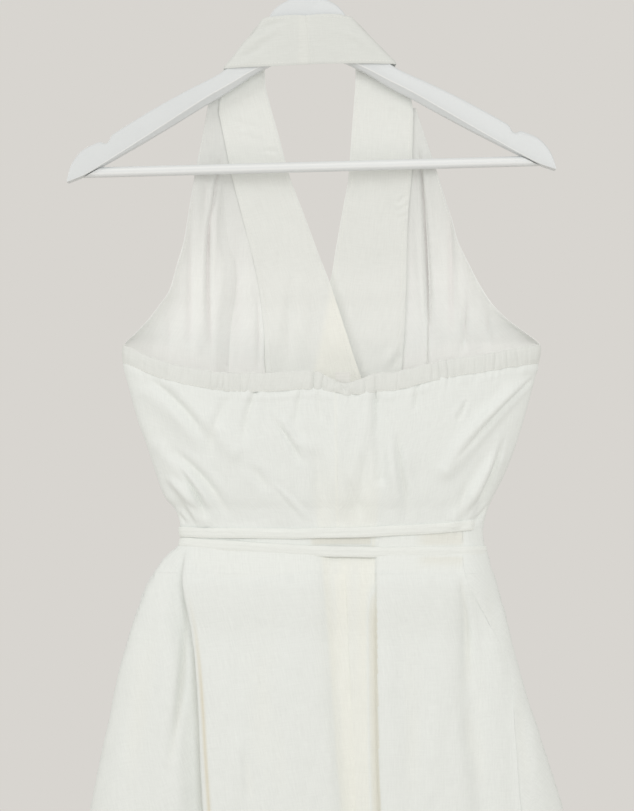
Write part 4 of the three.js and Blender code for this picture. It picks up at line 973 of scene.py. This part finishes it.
# How far the bodice goes up inside the casing.
TUCKED = 2.0
CENTRE_BACK = columns("z x", [
    (-397, 28.5), (-470, 29), (-546, 31), (-587, 36.2), (-667, 40), (-781, 44.7), (-1050, 54), (-1304, 64),
])
BACK_CREASES = [
    (-134, -416.5, -84, -474.4, 3, 3.6, -2.9, 0.6), (-144.5, -422.6, -93.3, -474.3, 3, 8, 2.6, 0.6),
    (-71.3, -430.6, -84.7, -492, -6, 4.4, -2.2, 0.4), (-45.6, -422.6, -55.7, -475.6, -3, 3.5, -2.2, 1),
    (-31.9, -443.6, 0.9, -495.7, 2, 2.4, -2.5, 0), (-24.6, -439.1, -4.6, -475.6, 0, 3, 1.5, 0),
    (-52, -486.5, -30.1, -515.8, 0, 4, -2, 0), (-33.8, -501.1, 10, -546.8, 1, 2, 1.4, 0),
    (-15.5, -466.5, 19.2, -477.4, 0, 5, 1.2, 0), (-125.1, -471, -64.8, -543.1, 5, 3.4, -2.8, 0),
    (-132.4, -477.4, -75.8, -543.1, 5, 4, 2.2, 0), (-119.6, -486.5, -87.6, -545.9, 4, 2.4, -3.6, 0),
    (-128.7, -497.5, -96.8, -534, 2, 3.2, 3, 0), (-117.8, -530.4, -106.8, -545.9, 0, 1.6, -2.4, 0),
    (-110.4, -521.2, -95.8, -545, 1, 1.8, 1.8, 0), (202.6, -415.4, 127.8, -497.5, -2, 2.2, -2.8, 0.7),
    (192.9, -420.6, 118.9, -494.7, -2, 5.5, 2, 0.5), (183.5, -457.3, 145.1, -545, 4, 2.4, -3.3, 0),
    (176.2, -466.5, 134.2, -545, 5, 4.5, 2.7, 0), (169.8, -521.2, 150.6, -545, 1, 1.6, -2.2, 0),
    (163.4, -513.9, 143.3, -545, 1, 2.2, 1.8, 0), (84, -452.8, 97.7, -545.9, -2, 3.2, -3.3, 0.1),
    (75.8, -457.3, 88.5, -539.5, -2, 5, 1.8, 0), (34.7, -493.8, 53.9, -545.9, 1, 4, -2.5, 0),
    (64.4, -419, 64.4, -466.5, 0, 1.8, -1.3, 1), (55.7, -422.6, 55.7, -475.6, 0, 5, 1.2, 1),
    (102.2, -418.1, 101.3, -442.7, 0, 2.4, -2, 1), (147, -431.8, 137.8, -451.9, 0, 2.2, -1.8, 0.6),
    (105, -466.5, 68.5, -521.2, 0, 9, 1.2, 0), (-4.6, -424.5, -8.2, -457.3, 0, 3, -1.7, 1),
    (11.9, -424.5, 15.5, -452.8, 0, 2.6, -1.4, 1), (6.4, -457.3, 20.1, -545, 0, 6, -2.6, 0),
    (57.5, -466.5, 48.4, -545, 0, 5, -2.4, 0), (147, -503, 141.5, -545, 0, 3.5, -2, 0),
    (31.9, -429.9, 30.1, -543.1, 0, 6, 1, 0.5),
]


def centre_back(z):
    return turn_of_back(read(CENTRE_BACK, "x", z), z)


def bodice_relief(grid, turn, across, down):
    x, z = seen(grid)
    rng = np.random.default_rng(53)
    height = creased(grid, BACK_CREASES)
    height += 0.7 * unevenness(x + 0.3 * z, z, 26, 60, 51) + 0.25 * unevenness(x, z, 8, 16, 52)
    top = read(CASING_TOP, "z", x) - rolled_in(CASING_DEPTH, x)
    below = np.maximum(0, top - z)
    for gather in GATHERS:
        lean, reach = rng.uniform(-0.15, 0.15), rng.uniform(9, 26)
        q = (x - gather - lean * below) / (1.3 + 0.07 * below)
        depth = rng.uniform(0.3, 1.2) * slack(gather)
        height -= depth * trough(q, 0.3, 2.2) * smooth(1 - below / reach)
    height = height * smooth((1 - np.abs(turn)) / 0.03) * smooth((1 - down) / 0.05)
    puffed = 0.9 * smooth(1 - np.abs(below - 5) / 5) * (0.4 + 0.6 * unevenness(x, 0 * z, 11, 9, 55))
    return height + puffed - 0.9 * smooth((z - top + 0.8) / 2.4)


def allowance_at(grid, width, edge):
    """1 over the centre back's seam allowance, pressed to the left, where the cloth is doubled."""
    aside = read(CENTRE_BACK, "x", grid[..., 2]) - grid[..., 0]
    return smooth((aside + 0.3) / 0.5) * smooth((width - aside) / edge)


def centre_shade(grid):
    """How far the cloth of the middle takes light from that beside it: low on the bodice and in the recess."""
    x, z = seen(grid)
    left, right = (read(BACK_FOLDS[name]["places"], "x", z) for name in ("centre_left", "centre_right"))
    spread = 9 * smooth((z + 560) / 60)
    inside = smooth((x - left + 3 + spread) / (5 + spread)) * smooth((right + 1 + spread - x) / (2 + spread))
    return inside * smooth((-460 - z) / 80) * (0.75 + 0.25 * unevenness(x, z, 9, 60, 57))


def tucked_top(turn):
    return casing_edge(CASING_DEPTH)(turn) + TUCKED


for name, left, right in (("left", constant(-1), centre_back), ("right", centre_back, constant(1))):
    grid = cut_panel(left, right, tucked_top, constant(WAIST_TOP), 132, 104, bodice_relief)
    # Painted light in the creases' hollows and low in the middle, as light thrown in by the cloth beside them.
    piece = sew("linen_back_bodice_" + name, grid, SINGLE, ["back_bodice_" + name],
                layers_and_painted_shading=0.8 * allowance_at(grid, 3.0, 2.0),
                hollow=np.maximum(0.2 * hollows(grid, BACK_CREASES), 0.38 * centre_shade(grid)))

# Neck label: a small tab of woven satin ribbon, blank, smoother than the linen and with a soft gleam, sewn
# inside the centre back and standing up behind the casing.
LABEL_LEFT, LABEL_RIGHT, LABEL_TOP, LABEL_BOTTOM = 27.5, 41.0, -404.5, -420.0
LABEL_INSIDE, LABEL_THICK = 2.8, 0.8
satin, tree = new_material("woven_satin_ribbon")
weave = node(tree, "ShaderNodeAttribute", attribute_name="weave").outputs["Vector"]
ribs = node(tree, "ShaderNodeTexWave", [
    ("Vector", weave), ("Scale", 240.0), ("Distortion", 0.6)], bands_direction="Y").outputs["Fac"]
surfaced(tree, [
    ("Base Color", blended(tree, ribs, 0xDADBD7, 0xE6E7E3)), ("Roughness", 0.45),
    ("Normal", bumped(tree, ribs, 0.2, 0.0002))])
label_across, label_z = np.meshgrid(np.linspace(0, 1, 16), np.linspace(LABEL_TOP, LABEL_BOTTOM, 18))
label_turn = turn_of_back(mix(LABEL_LEFT, LABEL_RIGHT, label_across), label_z)
label_curl = 0.5 * np.sin(label_across * 5) * smooth((label_z - LABEL_BOTTOM) / 12)
label_out = (label_curl - LABEL_INSIDE)[..., None]
label_grid = dress_point(label_turn, label_z) + outward(label_turn, label_z) * label_out
label = sew("blank_neck_label", label_grid, LABEL_THICK, ["neck_label"], layers_and_painted_shading=1.0, cloth=satin)

# Waistband: a doubled strip between bodice and skirt, one length across the back and one round each front.
WRAP_EDGES = columns("z inner outer", [(-546, 101, -52), (-805, 116, -66), (-1304, 146, -96)])


def back_fold_line(name):
    return lambda z: turn_of_back(read(BACK_FOLDS[name]["places"], "x", z), z)


def wrap_edge(name, side):
    return lambda z: turn_of_front(read(WRAP_EDGES, name, z), z, side)


def waist_relief(grid, turn, across, down):
    x, z = seen(grid)
    lumps = 0.5 * unevenness(x, z, 22, 14, 61) + 0.2 * unevenness(x, z, 6, 12, 62)
    lumps = lumps * smooth(down / 0.1) * smooth((1 - down) / 0.1)
    return lumps * np.sin(math.pi * np.clip(across, 0, 1)) ** 0.3


WAIST_EDGE = columns("x z", [
    (-120, -566), (-103, -580.6), (-82, -586.9), (-64, -591.5), (-41, -591.5), (-13.7, -587.9), (6.4, -586),
    (64, -585.1), (105, -587), (137, -587), (147, -584), (160, -566),
])


def doubled_at_waist(grid):
    """1 where the waistband's own turned-in edge lies behind the back, with a soft uneven lower limit."""
    x, z = seen(grid)
    edge = read(WAIST_EDGE, "z", x) + 0.8 * unevenness(x, 0 * z, 16, 9, 63)
    in_back = smooth((x + 106) / 6) * smooth((145 - x) / 2) * (grid[..., 1] < 4)
    return smooth((z - edge + 1.2) / 2.4) * in_back


def shade_of_ties(grid):
    """The tan shade of the ties: between them at the middle and the right, and under the lower one."""
    x, z = seen(grid)
    right = smooth((x - 98) / 14) * smooth((145 - x) / 2)
    middle = smooth((x - 3) / 6) * smooth((62 - x) / 3)
    between = smooth((z + 564) / 3) * smooth((-549 - z) / 3)
    under = smooth((z + 586) / 11) * smooth((-572 - z) / 2)
    return (0.36 * between * np.maximum(0.8 * right, middle) + 0.26 * under * right) * (grid[..., 1] < 4)


def waistband(name, left, right, cols, out=None):
    """Its outer face is flush with the thinner skirt's, so it is laid in by half of the difference."""
    inset = (DOUBLED - SINGLE) / 2
    grid = cut_panel(left, right, constant(WAIST_TOP), constant(SKIRT_TOP), cols, 22, waist_relief,
                     out=lambda turn, z: (out(turn, z) if out else 0) - inset + 0 * z)
    # Painted light in the middle's recess, and a painted tan shade between the ties and under the lower one.
    piece = sew("linen_waistband_" + name, grid, DOUBLED, ["waistband_" + name],
                layers_and_painted_shading=0.25 * doubled_at_waist(grid),
                hollow=deepened(0.7 * centre_shade(grid), shade_of_ties(grid)))


waistband("back", back_fold_line("left_edge"), back_fold_line("right_edge"), 170)
waistband("inner", back_fold_line("left_edge"), wrap_edge("inner", -1), 130, out=wrap_out)
waistband("outer", back_fold_line("right_edge"), wrap_edge("outer", 1), 130)

# Ties: linen strips folded lengthwise and edge-stitched, wrapped round the waist over the waistband. The upper
# one comes out of the right side seam; the lower one goes all the way round. They meet in a knot on the front.
TIE_HALF = 4.3
TIE_CLOTH = 1.6
TIE_MIDDLE = -560
TIE_RUN = 560
TIE_POINTS = 560
# Below this the dress widens, and a taut tie stays as narrow as it is there.
WAIST_LEVEL = -561
TIE_OUT = SINGLE / 2 + TIE_CLOTH / 2 - 0.1
TIE_LINES = columns("turn upper lower", [
    (-1.85, -560, -572), (-1.3, -554, -567), (-1, -550, -560), (-0.85, -550.3, -560.6), (-0.5, -550.6, -564),
    (0, -550.3, -567.3), (0.5, -547.6, -567.8), (0.85, -544.4, -567.8), (1, -544, -568), (1.5, -546, -569),
    (2.3, -546, -566),
])


def lay_tie(name, start, end, half, seed, tuck=0.0, emerge=0.0):
    """A tie's grid from one turn to another. Tuck is how far it lies in at the left side, and emerge how deep
    its end goes into the right side seam."""
    turn = mix(start, end, even_shares(start, end, TIE_MIDDLE, TIE_POINTS))[None, :]
    side = np.linspace(-1, 1, 17)[:, None]
    z = read(TIE_LINES, name, turn) + side * half
    along = np.linspace(0, TIE_RUN, TIE_POINTS)[None, :]
    out = TIE_OUT + 1.3 * smooth((np.abs(turn) - 1.4) / 0.2) + 0.8 * (1 - side**2)
    out = out - tuck * smooth((-0.6 - turn) / 0.3) - emerge * smooth((turn - 0.9) / 0.06)
    wander = 0.12 * unevenness(along, 0 * side, 40, 3, seed)
    for ridge, height in ((-0.45, 0.22), (0.3, 0.16)):
        out = out + height * np.exp(-(((side - ridge - wander) / 0.16) ** 2))
    for lump, long, wide, draw in ((0.25, 26, 4, seed), (0.1, 7, 2, seed + 1)):
        out = out + lump * unevenness(along, side * 4, long, wide, draw)
    z = z + 0.35 * unevenness(along, 0 * side, 34, 3, seed + 2)
    level = np.maximum(z, WAIST_LEVEL)
    points = dress_point(turn, level, TAUT_FOLDS) + outward(turn, level, TAUT_FOLDS) * out[..., None]
    points[..., 2] += z - level
    return np.swapaxes(points, 0, 1)


def sew_tie(name, grid, replaced):
    piece = sew("linen_" + name, grid, TIE_CLOTH, [replaced], layers_and_painted_shading=0.5, folded_edge=1.2)
    stitch_rows(name + "_stitches", [row_on(grid, 2, "column", -1, TIE_CLOTH)])


sew_tie("tie_upper", lay_tie("upper", -1.631, 0.965, 4.9, 71, emerge=3.6), "tie_upper")
sew_tie("tie_lower", lay_tie("lower", -1.4, 2.185, 5.0, 73, tuck=1.0), "tie_lower")

# Knot and free ends: the two ties cross in one soft overhand knot and hang down the front from it.
KNOT_X, KNOT_Y, KNOT_Z, KNOT_WIDE, KNOT_DEEP, KNOT_HIGH = -16.3, 27.9, -561.5, 10.6, 3.4, 8.0
KNOT_LEAN = math.pi / 2 - 0.09
lean = np.linspace(-KNOT_LEAN, KNOT_LEAN, 40)[:, None]
turns = np.linspace(0, 2 * math.pi, 48, endpoint=False)[None, :]
size = np.cos(lean) ** 0.7
wrapped = 1 - 0.12 * np.exp(-((np.sin(turns + 1.1 * lean) / 0.22) ** 2)) + 0.05 * np.cos(3 * turns + 2 * lean)
knot_points, knot_faces = lofted(np.stack([
    KNOT_X + KNOT_WIDE * np.sin(lean) + 0 * turns,
    KNOT_Y + KNOT_DEEP * size * wrapped * np.cos(turns),
    KNOT_Z + KNOT_HIGH * size * wrapped * np.sin(turns)], -1))
knot = make_piece("linen_tie_knot", knot_points, knot_faces, linen)
keep(knot, "weave", (knot_points * MM)[:, [0, 2, 1]], "FLOAT_VECTOR", "vector")
keep(knot, "layers_and_painted_shading", np.ones(len(knot_points)))
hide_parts("tie_knot")

for name, x, slant, length in (("left", -22.0, -0.07, 138), ("right", -11.5, 0.05, 124)):
    side, down = np.meshgrid(np.linspace(-1, 1, 11), np.linspace(0, 1, 90))
    z = KNOT_Z - KNOT_HIGH - 0.35 - length * down
    turn = turn_of_front(x + slant * length * down + side * TIE_HALF, z, 1)
    out = TIE_OUT + 2.2 + 0.4 * unevenness(side * 4, z, 4, 22, 77) * smooth(down / 0.1)
    grid = dress_point(turn, z) + outward(turn, z) * out[..., None]
    end = sew("linen_tie_end_" + name, grid, TIE_CLOTH, ["tie_end_" + name], layers_and_painted_shading=1.0, folded_edge=0.9)

# Skirt: four flared panels, gathered by nothing but their own flare. The back's middle is a recess between two
# large folds, and both sides swing out on the bias.
HEM_RISE_AT_SIDES = 14
HEM_DEPTH = 25
EVEN_AT = -700
SKIRT_BACK_CREASES = [
    (-89.5, -585.1, -66.6, -593.3, 0, 3, -0.8, 0), (-57.5, -744.9, -47.5, -805.1, 0, 4, -1.6, 0),
    (-63, -722, -55.7, -805.1, 0, 6, 1.2, 0), (-39.3, -649, -33.8, -805.1, 0, 7, -0.8, 0),
    (-22.8, -703.8, -19.2, -805.1, 0, 6, -1, 0), (-11.9, -576, -4.6, -805.1, 0, 12, 1.5, 0),
    (-82.2, -612.5, -66.6, -805.1, 0, 12, 1, 0),
    (75.8, -603.4, 79.4, -805.1, 0, 8, 1.2, 0), (143.3, -601.6, 147, -703.8, 3, 3.4, -2.4, 0.6),
    (147, -703.8, 152.4, -767.7, 0, 5, -1.4, 0), (165.2, -612.5, 182.6, -722, 2, 8, 2.2, 0),
    (124.1, -612.5, 114.1, -805.1, 0, 9, 0.9, 0), (100.4, -703.8, 97.7, -805.1, 0, 7, -0.9, 0),
    (157.9, -694.7, 161.6, -805.1, 0, 6, -1.2, 0),
]
FLARE_CREASES = [
    (-107.7, -612.5, -129.6, -785.9, 5, 3, -2.8, 0.3), (-117.8, -612.5, -141.5, -785.9, 5, 9, 1.8, 0.2),
    (-103.1, -649, -105, -805.1, 0, 6, 1.2, 0.2), (-141.5, -630.8, -168.9, -805.1, 0, 12, -1, 0),
    (-155.2, -685.5, -179.8, -805.1, 0, 6, 0.8, 0),
    (174.3, -598.8, 185.3, -658.1, 0, 4, 1.6, 0.3), (192.6, -685.5, 205.4, -805.1, 0, 5, -1, 0),
    (203.6, -703.8, 220, -805.1, 0, 7, 1, 0),
]


def hem_level(turn):
    return HEM + HEM_RISE_AT_SIDES * across_of(turn) ** 2


def skirt_relief(creases, seed):
    def relief(grid, turn, across, down):
        x, z = seen(grid)
        height = creased(grid, creases) * (np.abs(turn) < 1)
        height = height + 1.1 * unevenness(x, z, 34, 160, seed) * smooth(down / 0.1)
        height += 0.4 * unevenness(x, z, 12, 50, seed + 1) + 0.15 * unevenness(x, z, 6, 12, seed + 2)
        return height * smooth(down / 0.02)
    return relief


skirt_rows = np.concatenate([np.linspace(0, 0.36, 150), np.linspace(0.36, 1, 75)[1:]])


def deep_folds(grid):
    """The painted tan shade of the back's deep folds: the recess's right edge and the left side's groove."""
    x, z = seen(grid)
    groove, right = (read(BACK_FOLDS[name]["places"], "x", z) for name in ("left_edge", "centre_right"))
    beside = 0.55 * smooth(1 - (right - x) / 12) * (x < right + 1.5) * smooth((-586 - z) / 50)
    low = np.exp(-(((x - groove - 0.5) / 1.6) ** 2)) * smooth((-590 - z) / 120)
    return np.maximum(beside, low) * (grid[..., 1] < 0)


def sew_skirt(name, left, right, cols, rows, creases, seed, out=None, grain=0.0):
    relief = skirt_relief(creases, seed)
    grid = cut_panel(left, right, constant(SKIRT_TOP), hem_level, cols, rows, relief, out=out, level=EVEN_AT)
    on_back = grid[..., 1] < 0
    folded = smooth((hem_level(0) + HEM_DEPTH - grid[..., 2]) / 3)
    doubled = np.maximum(allowance_at(grid, SEAM_ALLOWANCE, 1.5) * on_back, 0.25 * doubled_at_waist(grid))
    # Painted light in the creases' hollows and the recess, and a painted tan shade in the deep folds.
    shade = np.maximum(0.5 * hollows(grid, creases), 0.7 * centre_shade(grid) * on_back)
    piece = sew("linen_" + name, grid, SINGLE, [name], grain=grain, layers_and_painted_shading=np.maximum(doubled, 0.6 * folded),
                hollow=deepened(shade, deep_folds(grid)))
    row = np.argmin(np.abs(grid[:, 0, 2] - grid[-1, 0, 2] - HEM_DEPTH))
    stitch_rows("hem_stitches_" + name, [row_on(grid, row, "row", 1 if "inner" in name else -1, SINGLE)])


sew_skirt("skirt_back_left", back_fold_line("left_edge"), centre_back, 104, skirt_rows,
          SKIRT_BACK_CREASES, 81, grain=-8)
sew_skirt("skirt_back_right", centre_back, back_fold_line("right_edge"), 116, skirt_rows,
          SKIRT_BACK_CREASES, 84, grain=3)
sew_skirt("skirt_front_inner", back_fold_line("left_edge"), wrap_edge("inner", -1), 190, 120,
          FLARE_CREASES, 87, out=wrap_out, grain=30)
sew_skirt("skirt_front_outer", back_fold_line("right_edge"), wrap_edge("outer", 1), 170, 120,
          FLARE_CREASES, 90, grain=-30)
